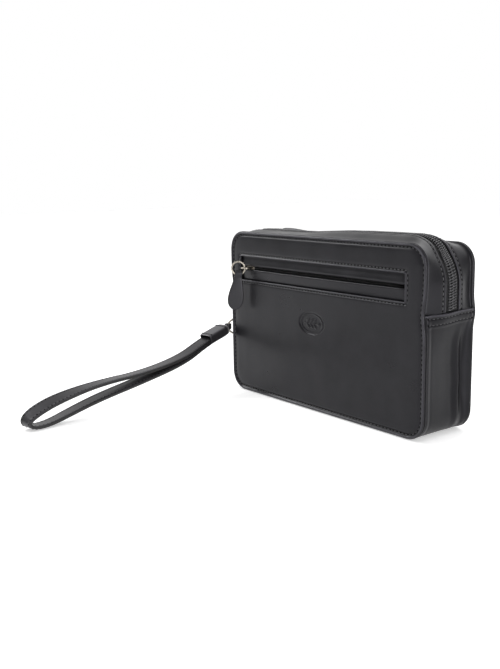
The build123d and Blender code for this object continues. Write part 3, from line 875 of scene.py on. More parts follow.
def loose_corner(x, z, out_x, out_z):
    """How far the zip's wider corner lies inside the outline's own, along the outward direction."""
    radius = LOOSE_RIGHT if x > 0 else LOOSE_LEFT
    qx, qz = abs(x) - HALF_WIDE + radius, z - TALL + radius
    if qx <= 0 or qz <= 0:
        return 0.0
    reach = qx * abs(out_x) + qz * out_z
    return reach - math.sqrt(reach ** 2 - qx ** 2 - qz ** 2 + radius ** 2)


def zip_inset(distance, y, x, z):
    """The zip's surface under the outline: positive inside it, negative where it arches above it."""
    out_x, out_z = (float(v) for v in outline(distance)[2:])
    share = side_share(out_x)
    from_seam = float(smooth_step((SEAM_Y - abs(y)) / (SEAM_Y - 7)))
    side = 2.2 + ((-1.0 if x > 0 else 1.4) - 2.2) * from_seam
    top = 1.5 - (1.5 + np.interp(x, *np.array(RIDGE).T)) * from_seam + 0.25 * soft_noise(x, y, 0, 18, 6)
    wave = 0.18 * share * soft_noise(distance, y, z, 16, 7)
    under_hem = float(smooth_step((HEM_HIGH - hem_line(y) + 1.5 - z) / 2.0)) * share
    sunk = gusset_sink(distance, y, z, out_x) + GUSSET_INSET + GUSSET_WALL + 0.15
    plain = side * share + top * (1 - share) + loose_corner(x, z, out_x, out_z) * from_seam + wave
    return plain + under_hem * (max(sunk, plain) - plain)


# The folded edge of a strip: how far under its surface, and how far back from its edge
STRIP_FOLD = ((0.1, 0.5), (0.55, 0), (1.25, 0.05), (1.75, 0.7), (1.8, 4))


def strip_section(edge, sign):
    """The cross-section of a strip whose folded edge is at depth edge; sign is -1 front, 1 back."""
    face = BACK - LEATHER - 0.1

    def section(distance, x, z):
        shown = float(smooth_step((z - HEM_HIGH + 0.2) / 0.8))
        at_seam = zip_inset(distance, sign * (SEAM_Y - 1), x, z)
        reach = at_seam + shown * (0.12 - at_seam)
        beside_fold = abs(edge) + np.array([3.6, STRIP_ROW_IN, 2.4, 1.2])
        depths = sign * np.array([*np.linspace(SEAM_Y - 0.6, abs(edge) + 4.5, 6), *beside_fold])
        groove = 0.6 * hump(np.abs(depths - edge), STRIP_ROW_IN, 0.5)
        outer = [(zip_inset(distance, y, x, z) + sunk, y) for y, sunk in zip(depths, groove)]
        fold_in = zip_inset(distance, edge, x, z)
        fold = [(fold_in + under, edge + back * sign) for under, back in STRIP_FOLD]
        inner = [(zip_inset(distance, y, x, z) + STRIP_THICK, y) for y in depths[::-2]]
        far_face = face if shown > 0.01 else SEAM_Y + 0.2
        rim = [(at_seam + 1.4, far_face), (reach + 0.35, far_face), (reach, far_face - 0.35 * shown),
               (reach, SEAM_Y + 0.6 * shown), (reach + 0.3, SEAM_Y + 0.05),
               (reach + 0.75 * (at_seam - reach), SEAM_Y - 0.05)]
        return [(inset, sign * y) for inset, y in rim] + outer + fold + inner

    return section


def zip_distances():
    """Distances from the right hem over the top to the left hem, closer at the corners and hems."""
    start, step = HEM_AT - TUCK, 2.6
    turn_in, turn_out = FLAT + ARC + SIDE, FLAT + 2 * ARC + SIDE
    right = list(np.arange(start, HEM_AT - 2, 3)) + list(np.arange(HEM_AT - 1.8, HEM_AT + 2, 0.6))
    right += list(np.arange(HEM_AT + 3, turn_in, step)) + list(np.linspace(turn_in, turn_out, 16))
    right += list(np.arange(turn_out + 1.5, HALF_ROUND - 1, step)) + [HALF_ROUND]
    return right + [2 * HALF_ROUND - d for d in right[-2::-1]]


def with_half(piece, sign):
    """Back zip pieces ride on the back half; front ones stay where they are built, on no body."""
    if sign < 0:
        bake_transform(piece)
    else:
        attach(piece, "back_half")


def strip_stitches(name, edge, sign):
    """The row beside a strip's folded edge."""
    distances = [d for d in zip_distances() if outline(d)[1] > HEM_HIGH + 0.5]
    x, z, out_x, out_z = outline(distances)
    y = edge + STRIP_ROW_IN * sign
    path = []
    for i, distance in enumerate(distances):
        inset = zip_inset(distance, y, x[i], z[i]) + 0.4
        path.append((x[i] - out_x[i] * inset, y, z[i] - out_z[i] * inset))
    row = stitch_row(name, path, np.stack([out_x, 0 * out_x, out_z], 1), None, soft=True)
    with_half(row, sign)


for word, edge, sign in (("front", STRIP_FRONT_EDGE, -1), ("back", STRIP_BACK_EDGE, 1)):
    points, faces = loft(band_rows(zip_distances(), strip_section(edge, sign)))
    at_fold = hump(points[:, 1], edge + 0.5 * sign, 0.5)
    at_rim = hump(np.abs(points[:, 1]), BACK - LEATHER - 0.4, 0.6)
    wear_and_highlight = 0.5 * at_fold + 0.35 * at_rim
    name = f"{word}_zip_strip_leather"
    strip = make_piece(name, points, faces, panel_leather, None, rounds=1, rubbed_and_highlight=wear_and_highlight, soft=True)
    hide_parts(f"{word}_zip_strip")
    with_half(strip, sign)
    strip_stitches(f"{word}_strip_stitches", edge, sign)

# %% [markdown]
# ## Zip tape and coil
# Under each strip lies a woven tape, and on its inner edge a nylon wire is sewn, wound into a flattened
# coil. When the zip is shut the turns of the two coils lie between each other, which gives the close
# herringbone line. Each turn is a small tube bent into a slanted loop. The loops of one side are half
# a pitch out of step with the other's, so that their heads mesh.

# %% Tape
TAPE_UNDER, TAPE_THICK, TAPE_WIDE, CHAIN_GAP = 1.95, 0.55, 5.5, 2.0


def tape_level(distance, y, x, z):
    """The top of the main zip's tape under the outline."""
    return zip_inset(distance, y, x, z) + TAPE_UNDER


def tape_section(edge, sign):
    """The tape, at one level under its strip all along."""
    inner = ZIP_Y + sign * CHAIN_GAP / 2
    outer = edge + TAPE_WIDE * sign

    def section(distance, x, z):
        level = tape_level(distance, edge, x, z)
        return [(level, inner), (level, outer), (level + TAPE_THICK, outer), (level + TAPE_THICK, inner)]

    return section


# %% Coil
WIRE, COIL_PITCH = 0.46, 1.9
MAIN_COIL_OFF, POCKET_COIL_OFF = 1.75, 1.45  # from the zip's middle to the middle of a coil
MAIN_COIL_SIZE, POCKET_COIL_SIZE = (1.72, 1.1), (1.42, 0.9)  # half its width, half its height


def coil_turns(name, frames, off, reach, rise, material, body):
    """Slanted loops on a line: frames are (middle, along, across, out) at each turn."""
    skins = []
    for middle, along, across, out in frames:
        rows = []
        for turn_at in circle(10):
            flat = math.copysign(abs(math.cos(turn_at)) ** 0.7, math.cos(turn_at))
            centre = middle + across * (off + reach * flat) + out * (rise + rise * 0.78 * math.sin(turn_at))
            centre = centre + along * 0.34 * COIL_PITCH * flat * (1 if math.sin(turn_at) >= 0 else -0.2)
            normal = across * math.cos(turn_at) + out * math.sin(turn_at)
            rows.append(round_row(centre, WIRE * normal, WIRE * along))
        skins.append(loft(rows, loop=True))
    piece = make_piece(name, *join_skins(skins), material, body)
    return piece


def chain_frames(shift):
    """Where each turn of the main coil sits; shift is a share of the pitch."""
    start = HEM_AT + 1.0
    distances = np.arange(start + shift * COIL_PITCH, 2 * HALF_ROUND - start, COIL_PITCH)
    x, z, out_x, out_z = outline(distances)
    made = []
    for i, distance in enumerate(distances):
        inset = tape_level(distance, ZIP_Y, x[i], z[i])
        out = np.array([out_x[i], 0, out_z[i]])
        along = np.array([-out[2], 0, out[0]])
        made.append((np.array([x[i], 0, z[i]]) - out * inset, along, np.array([0.0, 1, 0]), out))
    return made


for word, edge, sign, shift in (("front", STRIP_FRONT_EDGE, -1, 0.0), ("back", STRIP_BACK_EDGE, 1, 0.5)):
    points, faces = loft(band_rows(zip_distances(), tape_section(edge, sign)))
    tape = make_piece(f"{word}_zip_tape_woven", points, faces, zip_tape, None, soft=True)
    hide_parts(f"{word}_zip_tape")
    with_half(tape, sign)
    name, off = f"{word}_zip_coil_turns", ZIP_Y + sign * MAIN_COIL_OFF
    coil = coil_turns(name, chain_frames(shift), off, *MAIN_COIL_SIZE, nylon_coil_lit, None)
    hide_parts(f"{word}_zip_coil")
    with_half(coil, sign)

# %% [markdown]
# ## The front pocket
# Two leather lips fill the window, one above and one below a narrow slit, with the pocket's zip behind
# them. A lip is leather folded round a filler, so it is thick and rounded, and its folded edge catches
# the light. The upper lip rolls a little over the slit. The lips are long lofts whose cross-section
# changes slowly, because hand-turned leather is never quite even.

# %% Pocket lips
panel_in = FRONT + LEATHER
TAPE_Y = box_mm("pocket_tape_upper")[0][1]
SLIT_Z = (SLIT_HIGH + SLIT_LOW) / 2


def lip_rows(sign):
    """Cross-sections of a lip from the window's left end to its right end; sign 1 is the upper lip."""
    window = WINDOW_HIGH if sign > 0 else WINDOW_LOW
    slit = SLIT_HIGH if sign > 0 else SLIT_LOW
    tall = abs(window - slit)
    rows = []
    for x in np.linspace(upper_low[0] + 0.3, upper_high[0] - 0.3, 90):
        middle = float(np.clip((x - WINDOW_LEFT) * (WINDOW_RIGHT - x) / 8000, 0, 1))
        shown = float(smooth_step(min(x - WINDOW_LEFT, WINDOW_RIGHT - x) / 4 + 0.3))
        wave = 0.22 * soft_noise(x, 0, sign * 9, 22, 8)
        open_by = 0.25 * middle * sign + 0.1 * soft_noise(x, 0, sign, 12, 3) * middle
        front = panel_in + 0.15
        proud = ((1.5 if sign > 0 else 1.1) + wave + 0.15 * middle) * shown
        shape = [(WELT_LAP - 0.3, 0.0), (0.35, 0.0)]
        if sign > 0:
            shape += [(-0.5, 0.02), (-0.2 * tall, 0.12), (-0.4 * tall, 0.5), (-0.6 * tall, 0.85),
                      (-0.78 * tall, 1.0), (-0.9 * tall, 0.88), (-tall + 0.3, 0.5), (-tall + 0.05, 0.05)]
        else:
            shape += [(-0.4, 0.2), (-0.2 * tall, 0.45), (-0.4 * tall, 0.65), (-0.6 * tall, 0.8),
                      (-0.75 * tall, 0.95), (-tall + 0.8, 1.0), (-tall + 0.35, 0.75), (-tall + 0.05, 0.2)]
        row = [(x, front - proud * out, window + sign * up + open_by * (up < -0.6 * tall)) for up, out in shape]
        edge_z = slit + open_by
        turned_in = ((0.45, 0), (0.9, 0.15), (1.15, 0.7))
        row += [(x, front + behind, edge_z + up * sign) for behind, up in turned_in]
        row += [(x, front + 1.2, window), (x, front + 1.2, window + sign * (WELT_LAP - 0.3))]
        rows.append(row)
    return rows


for word, sign in (("upper", 1), ("lower", -1)):
    points, faces = loft(lip_rows(sign))
    lip = make_piece(f"pocket_lip_{word}", points, faces, panel_leather, "front_half", rounds=1)
    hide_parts(f"pocket_welt_{word}")

# %% Pocket zip
for word, sign, shift in (("upper", 1, 0.0), ("lower", -1, 0.5)):
    low, high = box_mm(f"pocket_tape_{word}")
    rows = []
    for x in np.linspace(low[0], high[0], 60):
        sway = 0.12 * soft_noise(x, sign * 5, 0, 15, 2)
        rows.append([(x, low[1] + sway, low[2]), (x, low[1], high[2]),
                     (x, high[1], high[2]), (x, high[1] + sway, low[2])])
    points, faces = loft(rows)
    tape = make_piece(f"pocket_tape_{word}_woven", points, faces, zip_tape, "front_half")
    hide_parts(f"pocket_tape_{word}")
    coil_low, coil_high = box_mm(f"pocket_coil_{word}")
    out, along, across = np.array([0, -1.0, 0]), np.array([1.0, 0, 0]), np.array([0, 0, 1.0])
    starts = np.arange(coil_low[0] + shift * COIL_PITCH, coil_high[0], COIL_PITCH)
    frames = [(np.array([x, TAPE_Y, SLIT_Z]), along, across, out) for x in starts]
    name, off = f"pocket_coil_{word}_turns", sign * POCKET_COIL_OFF
    coil = coil_turns(name, frames, off, *POCKET_COIL_SIZE, nylon_coil_shaded, "front_half")
    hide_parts(f"pocket_coil_{word}")

# %% [markdown]
# ## Cloth inside
# The inside is lined with thin woven cloth, and the pocket is a flat bag of the same cloth. Linings are
# sewn in at their edges only, so between them they ripple. Each is a grid moved a little by slow noise
# and given the thickness of cloth.

# %% Linings
CLOTH_THICK = 0.3


def cloth_wall(name, node_name, body, toward, ripple):
    """A rippling sheet in place of a flat lining; its ripples go to depth toward (-1 or 1)."""
    low, high = box_mm(node_name)
    middle = (low[1] + high[1]) / 2
    xs, zs = np.linspace(low[0] + 0.5, high[0] - 0.5, 60), np.linspace(low[2] + 0.5, high[2] - 0.5, 40)
    points = []
    for x in xs:
        for z in zs:
            inside = float(smooth_step(min(x - low[0], high[0] - x, z - low[2], high[2] - z) / 15))
            corner = max(0.0, 12 - inside_edge(x, z))
            swell = 0.6 + 0.5 * soft_noise(x, 0, z, 30, 11) + 0.2 * soft_noise(x, 0, z * 2, 9, 12)
            points.append((x * (1 - 0.0004 * corner), middle + toward * ripple * inside * swell, z))
    tall = len(zs)
    faces = [(i * tall + j, (i + 1) * tall + j, (i + 1) * tall + j + 1, i * tall + j + 1)
             for i in range(len(xs) - 1) for j in range(tall - 1)
             if inside_edge(xs[i], zs[j]) > 7 and inside_edge(xs[i + 1], zs[j + 1]) > 7]
    faces, points = only_used(faces, points)
    sheet = make_piece(name, points, faces, lining_cloth, body)
    thicken(sheet, CLOTH_THICK, 0)
    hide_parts(node_name)


cloth_wall("front_lining_cloth", "front_lining", "front_half", 1, 1.2)
cloth_wall("back_lining_cloth", "back_lining", "back_half", -1, 1.0)


def gusset_cloth_section(distance, x, z):
    """The gusset's lining, inside its wall and over the bottom board."""
    out_x = float(outline(distance)[2])
    share = side_share(out_x)
    ys = np.linspace(lining_front, lining_back, 13)
    base = share * 4.6 + (1 - share) * 3.3
    top = []
    for y in ys:
        ripple = 0.25 * soft_noise(distance, y, 0, 13, 15)
        top.append((base + 0.55 * share * gusset_sink(distance, y, z, out_x) + ripple, y))
    return top + [(inset + 0.35, y) for inset, y in top[::-1]]


lining_low, lining_high = box_mm("gusset_lining")
lining_front, lining_back = lining_low[1] + 0.3, lining_high[1] - 0.3
cloth_end = HEM_AT - (HEM_HIGH - lining_high[2]) - 0.5
half = np.linspace(0, cloth_end, 70)
points, faces = loft(band_rows([*-half[:0:-1], *half], gusset_cloth_section))
gusset_cloth = make_piece("gusset_lining_cloth", points, faces, lining_cloth, None)
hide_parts("gusset_lining")
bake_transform(gusset_cloth)


# %% Pocket bag
def pocket_cloth():
    """The pocket's flat bag: two rippling walls joined round the sides and bottom, open at the zip."""
    low, high = box_mm("pocket_bag")
    mouth_high = SLIT_Z - 6
    front_y, back_y = box_mm("pocket_tape_upper")[1][1] + 1.9, high[1] - 0.5
    middle, half_gap = (front_y + back_y) / 2, (back_y - front_y) / 2
    walls = (
        (1, np.linspace(high[2] - 1, low[2] + 0.6, 22), 1, 26),
        (-1, np.linspace(low[2] + 0.6, mouth_high, 20), 2, 24),
    )
    rows = []
    for x in np.linspace(low[0] + 0.4, high[0] - 0.4, 56):
        end = float(smooth_step(min(x - low[0], high[0] - x) / 6))
        row = []
        for toward, levels, wall, size in walls:
            for z in levels:
                open_by = end * float(smooth_step((z - low[2]) / 6))
                swell = 0.7 * open_by * soft_noise(x, wall, z, size, 20 + wall)
                row.append((x, middle + toward * (half_gap * open_by - max(swell, 0)), z))
        rows.append(row)
    rows = np.array(rows)
    wide, long = rows.shape[:2]
    faces = [(i * long + j, i * long + j + 1, (i + 1) * long + j + 1, (i + 1) * long + j)
             for i in range(wide - 1) for j in range(long - 1)]
    bag = make_piece("pocket_bag_cloth", rows.reshape(-1, 3), faces, lining_cloth, "front_half")
    thicken(bag, CLOTH_THICK, 0)
    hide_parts("pocket_bag")


pocket_cloth()

# %% [markdown]
# ## Sliders
# A slider is die-cast metal: two rounded plates with the chain between them, flanges that keep the chain
# in, a wedge that parts the coils, and a bridge for the pull. All of its edges are soft from plating and
# polishing. So every block is a short loft whose first and last rows are drawn in a little, which leaves
# a fine bevel that catches the light. The pocket's bridge stands on a neck that comes out of the slit.

# %% Slider parts
def round_loop(wide, tall, radius, middle=(0.0, 0.0), per_corner=5):
    """Points round a rectangle with round corners."""
    radius = min(radius, wide / 2 - 0.01, tall / 2 - 0.01)
    points = []
    for start, sx, sy in ((0, 1, 1), (90, -1, 1), (180, -1, -1), (270, 1, -1)):
        for k in range(per_corner):
            a = math.radians(start + 90 * k / (per_corner - 1))
            points.append((middle[0] + sx * (wide / 2 - radius) + radius * math.cos(a),
                           middle[1] + sy * (tall / 2 - radius) + radius * math.sin(a)))
    return points


def soft_block(wide, long, radius, low, high, middle=(0.0, 0.0), bevel=0.18, drawn_in=1):
    """A block from height low to high, with its ends drawn in by drawn_in bevels."""
    rows = []
    for height, inset in ((low, 1), (low + bevel, 0), (high - bevel, 0), (high, 1)):
        less = drawn_in * bevel * inset
        rows.append([(x, y, height) for x, y in round_loop(wide - less, long - less, radius, middle)])
    return loft(rows)


def slider(name, body, joint, across, along, out, plate_wide, long, chain_high, neck, lips):
    """A slider in its own directions, placed by the pivot of the ring that hangs in its bridge."""
    plate, gap = 1.2, 0.3
    hole_long, hole_high, roof, bridge_long, bridge_wide = 5.4, 2.3, 1.1, 8.4, 1.4
    top = chain_high + gap
    under = -0.6 - gap
    base = top + plate
    round_by = 0.3 * plate_wide
    skins = [soft_block(plate_wide, long, round_by, low, high, drawn_in=2)
             for low, high in ((top, base), (under - plate, under))]
    skins.append(soft_block(1.0, 2.0, 0.4, under - 0.1, top + 0.1, (0, 1.0 - long / 2), 0.05))
    for side in lips:
        rail_at = (side * (plate_wide / 2 - 0.45), 0)
        skins.append(soft_block(0.8, long - 2.2, 0.3, gap + 0.3, top + 0.3, rail_at, 0.15))
    high = neck + hole_high + roof
    hole_mid = neck + hole_high / 2
    rows = []
    for shift, inset in ((-1, 0.2), (-0.72, 0), (0.72, 0), (1, 0.2)):
        loop = round_loop(bridge_long - 2 * inset, high - inset, 2.0, (0, (high - inset) / 2))
        rows.append([(shift * bridge_wide / 2, y, base - 0.05 + z) for y, z in loop])
    for shift, inset in ((1, -0.2), (0.72, 0), (-0.72, 0), (-1, -0.2)):
        loop = round_loop(hole_long - 2 * inset, hole_high - 2 * inset, 1.1, (0, hole_mid))
        rows.append([(shift * bridge_wide / 2, y, base + z) for y, z in loop])
    skins.append(loft(rows, loop=True))
    points, faces = join_skins(skins)
    pivot = np.array(joints[joint]["pos_m"]) / MM
    axes = np.array([across, along, out], float)
    origin = pivot - axes[2] * (base + hole_mid)
    piece = make_piece(name, np.array(points) @ axes + origin, faces, nickel, body, sharp=40)
    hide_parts(name.replace("_cast", ""))


slider("main_slider_cast", "main_slider", "main_ring_swing", (0, -1, 0), (0, 0, 1), (-1, 0, 0),
       9.6, 13.0, 2.2, 0.4, [-1])
slider("pocket_slider_cast", "pocket_slider", "pocket_ring_swing", (0, 0, -1), (1, 0, 0), (0, -1, 0),
       8.2, 9.0, 1.8, 4.9, [-1, 1])

# %% [markdown]
# ## Wire rings
# Each pull hangs on a ring bent from round wire, with its two ends butted together. The place, size and
# direction of a ring are measured on its CAD node: the direction in which its points vary least is its
# axis. The visible ring has a small gap at its butted ends, and is not perfectly round.

# %% Rings
def node_points(name):
    """A CAD node's points, in millimetres."""
    return np.array([vertex.co for vertex in frame["nodes"][name].data.vertices]) / MM


def wire_ring(name, body, gap_toward):
    """A butt-ended wire ring in place of a CAD ring; gap_toward is the side with the gap."""
    points = node_points(name)
    low, high = points.min(0), points.max(0)
    middle = (low + high) / 2
    axis = np.linalg.svd(points - middle, full_matrices=False)[2][2]
    half_wire = np.abs((points - middle) @ axis).max()
    radius = np.linalg.norm(points - middle, axis=1).max() - half_wire
    start = np.array(gap_toward, float)
    start -= axis * (start @ axis)
    start /= np.linalg.norm(start)
    other = np.cross(axis, start)
    rows = []
    for turn_at in np.linspace(0.022, 2 * math.pi - 0.022, 64):
        spoke = math.cos(turn_at) * start + math.sin(turn_at) * other
        centre = middle + spoke * radius * (1 + 0.006 * math.sin(3 * turn_at + 1))
        ends = 0.85 if turn_at < 0.03 or turn_at > 2 * math.pi - 0.03 else 1.0
        rows.append(round_row(centre, ends * half_wire * spoke, ends * half_wire * axis, 12))
    skin, faces = loft(rows)
    piece = make_piece(f"{name}_wire", skin, faces, nickel, body)
    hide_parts(name)


wire_ring("pocket_pull_ring", "pocket_ring", (-0.6, -0.8, 0))
wire_ring("main_pull_ring", "main_ring", (0, 1, 0))
wire_ring("strap_ring", "strap_ring", (0, 0, 1))

# %% [markdown]
# ## Leather pulls
# A pull is a long drop of leather, doubled so that its head makes a tunnel for the ring. Two plies are
# glued and their raw edge is painted. It is narrow at the head and ends in a broad round foot. The blade
# is a loft along its length; the head is a second loft round the tunnel, drawn out at its foot so that it
# runs into the blade.

# %% Pull tabs
# A ply's section, as shares of its half width and half thickness; its raw edge is a little hollow
TAB_SECTION = both_sides([
    (-0.9, 1), (-0.6, 1.06), (-0.2, 1.1), (0.2, 1.1), (0.6, 1.06), (0.9, 1), (0.985, 0.75), (1.0, 0.35),
    (0.975, 0), (1.0, -0.35), (0.985, -0.75),
])


def pull_tab(name, body, joint):
    """A leather pull in place of a CAD tab, hanging from its joint's pivot."""
    eye = np.array(joints[joint]["pos_m"]) / MM
    axis = np.array(joints[joint]["axis"], float)
    reach = node_points(name) - eye
    far = reach[np.linalg.norm(reach, axis=1) > 0.9 * np.linalg.norm(reach, axis=1).max()].mean(0)
    down = far / np.linalg.norm(far)
    wide = axis - down * (axis @ down)
    wide /= np.linalg.norm(wide)
    face = np.cross(down, wide)
    long, foot, head, half_thick = 30.3, 6.8, 3.2, 1.3
    belly = long - 9.0
    round_foot = belly + (long - belly) * np.sin(np.linspace(0.12, 0.5, 9) * math.pi)
    rows = []
    for v in [0.9, *np.linspace(2, belly, 14), *round_foot]:
        if v <= belly:
            half_wide = head + (foot - head) * float(smooth_step(v / belly)) ** 0.85
        else:
            half_wide = foot * max(0.06, 1 - ((v - belly) / (long - belly)) ** 2.1) ** 0.58
        bow = 0.5 * math.sin(math.pi * v / long)
        thin = half_thick * min(1.0, half_wide / 2.2)
        rows.append([eye + wide * u * half_wide + down * v + face * (w * thin + bow) for u, w in TAB_SECTION])
    blade = loft(rows)
    rows = []
    for u, inset in ((-1, 0.25), (-0.93, 0), (-0.3, -0.05), (0.3, -0.05), (0.93, 0), (1, 0.25)):
        loop = []
        for a in circle(28):
            v, w = -0.7 + 3.0 * math.sin(a), (2.6 - inset) * math.cos(a)
            if v > -0.7:
                v, w = -0.7 + 5.2 * math.sin(a), (1.3 + 1.3 * (1 - math.sin(a)) - inset) * math.cos(a)
            loop.append(eye + wide * u * head + down * (v + inset * (1 if v < -0.7 else -1)) + face * w)
        rows.append(loop)
    for u, inset in ((1, -0.2), (0.93, 0), (-0.93, 0), (-1, -0.2)):
        loop = []
        for a in circle(28):
            v, w = -0.9 + (1.95 - inset) * math.sin(a), (1.75 - inset) * math.cos(a)
            loop.append(eye + wide * u * head + down * v + face * w)
        rows.append(loop)
    skin, faces = join_skins([blade, loft(rows, loop=True)])
    piece = make_piece(f"{name}_leather", skin, faces, tab_leather, body, rounds=1)
    piece.data.materials.append(edge_paint)
    for polygon in piece.data.polygons:
        centre, normal = np.array(polygon.center) / MM, np.array(polygon.normal)
        if abs(normal @ face) < 0.5 and (centre - eye) @ down > 2:
            polygon.material_index = 1
    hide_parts(name)


pull_tab("pocket_pull_tab", "pocket_tab", "pocket_tab_swing")
pull_tab("main_pull_tab", "main_tab", "main_tab_swing")

# %% [markdown]
# ## Wrist strap
# The strap is two long plies of leather, stitched near both edges and painted there. It leaves a sleeve,
# runs out, turns round in a soft loop that touches the table, and comes back into the sleeve below
# itself. A flat strap bends easily one way only, so where it must turn another way it twists. The line
# is a smooth curve drawn by the route's points, as a quadratic B-spline, and the twist is given at the
# same points.

# %% Strap line
strap_eye = np.array(joints["strap_swing"]["pos_m"]) / MM
STRAP_LEAD = math.radians(-5.9)
strap_out = np.array([-math.sin(STRAP_LEAD), -math.cos(STRAP_LEAD), 0])
strap_side = np.array([-strap_out[1], strap_out[0], 0])
STRAP_HALF, STRAP_HALF_THICK = 6.0, 1.25
strap_route = [
    (7.0, 50.0, 4), (30.0, 42.6, 4), (54.0, 32.0, 4), (95.0, 25.8, -2), (140.0, 24.8, 2), (176.0, 19.5, 20),
    (197.0, 12.6, 22), (204.0, 6.4, 8), (199.0, 1.7, 0), (184.0, 2.0, 0), (167.0, 6.5, -4), (140.0, 13.2, -8),
    (95.0, 20.6, -10), (54.0, 28.6, -8), (30.0, 39.9, -4), (7.0, 47.4, -2),
]


def smooth_line(controls, per_span=9):
    """Points of the quadratic B-spline with these control points, from the first to the last."""
    controls = np.asarray(controls, float)
    middles = (controls[:-1] + controls[1:]) / 2
    line = [controls[0]]
    for i in range(1, len(controls) - 1):
        for share in np.linspace(0, 1, per_span, endpoint=i == len(controls) - 2):
            a = middles[i - 1] * (1 - share) + controls[i] * share
            b = controls[i] * (1 - share) + middles[i] * share
            line.append(a * (1 - share) + b * share)
    line.append(controls[-1])
    return np.array(line)


strap_line = smooth_line(strap_route)
strap_points = strap_eye * (1, 1, 0) + np.outer(strap_line[:, 0], strap_out)
strap_points[:, 2] = strap_line[:, 1]
strap_along = np.gradient(strap_points, axis=0)
strap_along /= np.linalg.norm(strap_along, axis=1)[:, None]
twist = np.radians(strap_line[:, 2])[:, None]
flat_up = np.cross(strap_side, strap_along)
strap_across = strap_side * np.cos(twist) + flat_up * np.sin(twist)
strap_face = np.cross(strap_across, strap_along)
strap_length = np.linalg.norm(np.diff(strap_points, axis=0), axis=1).sum()
print(f"strap {strap_length:.0f} mm long")

# %% Strap
STRAP_SECTION = both_sides([
    (-0.93, 1), (-0.7, 1.04), (-0.6, 0.98), (-0.3, 1.03), (0.3, 1.03), (0.6, 0.98), (0.7, 1.04), (0.93, 1),
    (0.99, 0.72), (1.0, 0.3), (0.975, 0), (1.0, -0.3), (0.99, -0.72),
])
EDGE_PLACES = {8, 9, 10, 11, 21, 22, 23, 24}  # the section's places that are raw edge
rows = []
for place, across, face in zip(strap_points, strap_across, strap_face):
    rows.append([place + across * u * STRAP_HALF + face * w * STRAP_HALF_THICK for u, w in STRAP_SECTION])
points, faces = loft(rows)
strap = make_piece("wrist_strap_leather", points, faces, strap_leather, "strap", rounds=1)
strap.data.materials.append(edge_paint)
for face in strap.data.polygons:
    if len(face.vertices) == 4 and min(face.vertices) % len(STRAP_SECTION) in EDGE_PLACES:
        face.material_index = 1
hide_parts("wrist_strap")
for word, share in (("near", 0.72), ("far", -0.72)):
    for side_word, up in (("outer", 1), ("inner", -1)):
        row = strap_points + share * STRAP_HALF * strap_across + up * (STRAP_HALF_THICK - 0.12) * strap_face
        name = f"strap_stitches_{word}_{side_word}"
        stitch_row(name, row[4:-4], up * strap_face[4:-4], "strap")

# %% [markdown]
# ## Sleeve and anchor
# The strap's two ends meet in a sleeve, a band of leather folded round them and narrowed to a small loop
# that holds the ring. The ring's other side hangs in a leather anchor that is sewn flat on the gusset.
# Both are lofts: the sleeve grows from the loop's width to the strap's, and the anchor's pad follows the
# sunken leather under it.

# %% Sleeve
SLEEVE_SLOPE = math.radians(17.0)
sleeve_down = strap_out * math.cos(SLEEVE_SLOPE) + np.array([0, 0, -math.sin(SLEEVE_SLOPE)])
sleeve_up = np.cross(strap_side, sleeve_down) * (1 if np.cross(strap_side, sleeve_down)[2] > 0 else -1)


EYE_SECTION = [
    (3.1, 2.3), (3.1, -2.3), (2.95, -2.5), (2.05, -2.5), (1.9, -2.3), (1.9, 2.3), (2.05, 2.5), (2.95, 2.5),
]


def eye_tube(centre):
    """The small upright leather tube that the ring's wire runs through."""
    return loft([[centre + (radius * math.cos(a), radius * math.sin(a), half) for a in circle(24)]
                 for radius, half in EYE_SECTION], loop=True)


def sleeve_row(distance, half_wide, half_tall, radius):
    """One rounded section of the sleeve, at a distance from the eye."""
    loop = round_loop(2 * half_wide, 2 * half_tall, radius, per_corner=6)
    return [strap_eye + sleeve_down * distance + strap_side * u + sleeve_up * w for u, w in loop]


outer = [(2.3, 1.5, 2.4), (3.2, 3.6, 2.9), (4.4, 6.0, 3.7), (6.5, 7.0, 4.1), (11.5, 7.2, 4.25), (16, 7.2, 4.2),
         (21, 7.25, 4.15), (24, 7.3, 4.2), (26.8, 7.3, 4.25), (27.4, 7.1, 4.1)]
inner = [(27.4, 6.5, 3.4), (26.8, 6.3, 3.15), (20, 6.2, 3.1), (12, 6.1, 3.0), (9.5, 5.0, 2.4)]
rows = [sleeve_row(d, w, t, min(2.0, 0.8 * t)) for d, w, t in outer + inner]
points, faces = join_skins([loft(rows), eye_tube(strap_eye)])
# Painted highlight: the sleeve's top face is made paler, standing in for the light it catches from above.
wear_and_highlight = 0.3 * smooth_step(((np.array(points) - strap_eye) @ sleeve_up - 2.5) / 1.5)
sleeve = make_piece("strap_sleeve_leather", points, faces, strap_leather, "strap", rounds=1, rubbed_and_highlight=wear_and_highlight)
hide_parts("strap_sleeve")
for word, distance in (("end", 24.8), ("nose", 8.0)):
    start = strap_eye + sleeve_down * distance + sleeve_up * 4.12
    path = [start + strap_side * u for u in np.linspace(-6.2, 6.2, 12)]
    stitch_row(f"sleeve_stitches_{word}", path, sleeve_up, "strap")

# %% Anchor
anchor_eye = np.array(joints["strap_ring_swing"]["pos_m"]) / MM
PAD_HALF_WIDE, PAD_HALF_TALL = 6.0, 7.5


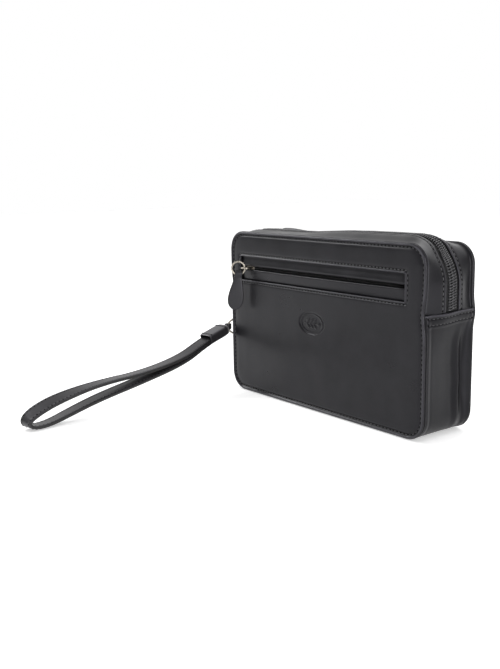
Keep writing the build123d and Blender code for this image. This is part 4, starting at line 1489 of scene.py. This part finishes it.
def pad_point(u, v, lift):
    """A point u across and v up from the anchor's middle, lifted off the gusset's wall."""
    y, z = anchor_eye[1] + u, anchor_eye[2] + v
    wall_x = HALF_WIDE - GUSSET_INSET - gusset_sink(-(FLAT + ARC + z - CORNER), y, z, 1.0)
    return -(wall_x + lift), y, z


PAD_ROWS = (
    (0.05, 0.02, 1.5), (0.5, 0.5, 1.5), (0.88, 0.88, 1.35), (1.0, 1.0, 0.85), (1.0, 1.0, 0.1), (0.9, 0.9, -0.4),
    (0.3, 0.3, -0.4), (0.05, 0.02, -0.4),
)  # the pad's size, its corners' size, and its lift
rows = []
for share, round_share, lift in PAD_ROWS:
    loop = round_loop(2 * PAD_HALF_WIDE * share, 2 * PAD_HALF_TALL * share, 2.2 * round_share)
    rows.append([pad_point(u, v, lift) for u, v in loop])
pad = loft(rows)
root_x = pad_point(0, 0, 1.0)[0]
neck = [(root_x, 3.4, 4.4), (root_x - 1.2, 2.2, 3.6), (root_x - 2.6, 1.5, 2.8)]
neck.append((anchor_eye[0] + 2.2, 1.4, 2.4))
rows = []
for x, half_wide, half_tall in neck:
    loop = round_loop(2 * half_wide, 2 * half_tall, 1.2)
    rows.append([(x, anchor_eye[1] + u, anchor_eye[2] + v) for u, v in loop])
points, faces = join_skins([pad, loft(rows), eye_tube(anchor_eye)])
anchor = make_piece("strap_anchor_leather", points, faces, strap_leather, "back_half", rounds=1)
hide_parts("strap_anchor")
row_loop = round_loop(2 * PAD_HALF_WIDE - 3.2, 2 * PAD_HALF_TALL - 3.2, 1.2)
path = [pad_point(u, v, 1.38) for u, v in row_loop]
stitch_row("anchor_stitches", [*path, path[0]], (-1, 0, 0), "back_half")

# %% [markdown]
# ## The CAD pieces that stay
# Boards and zip stops are plain in real life too, so their CAD shapes stay and only get their finish.

# %% Finishes on CAD nodes
kept = {
    fibre_board: ("front_board", "back_board", "base_board"),
    black_metal: ("main_stop_left", "main_stop_right", "pocket_stop_left", "pocket_stop_right"),
}
for finish, names in kept.items():
    for name in names:
        mesh = frame["nodes"][name].data
        mesh.materials.clear()
        mesh.materials.append(finish)
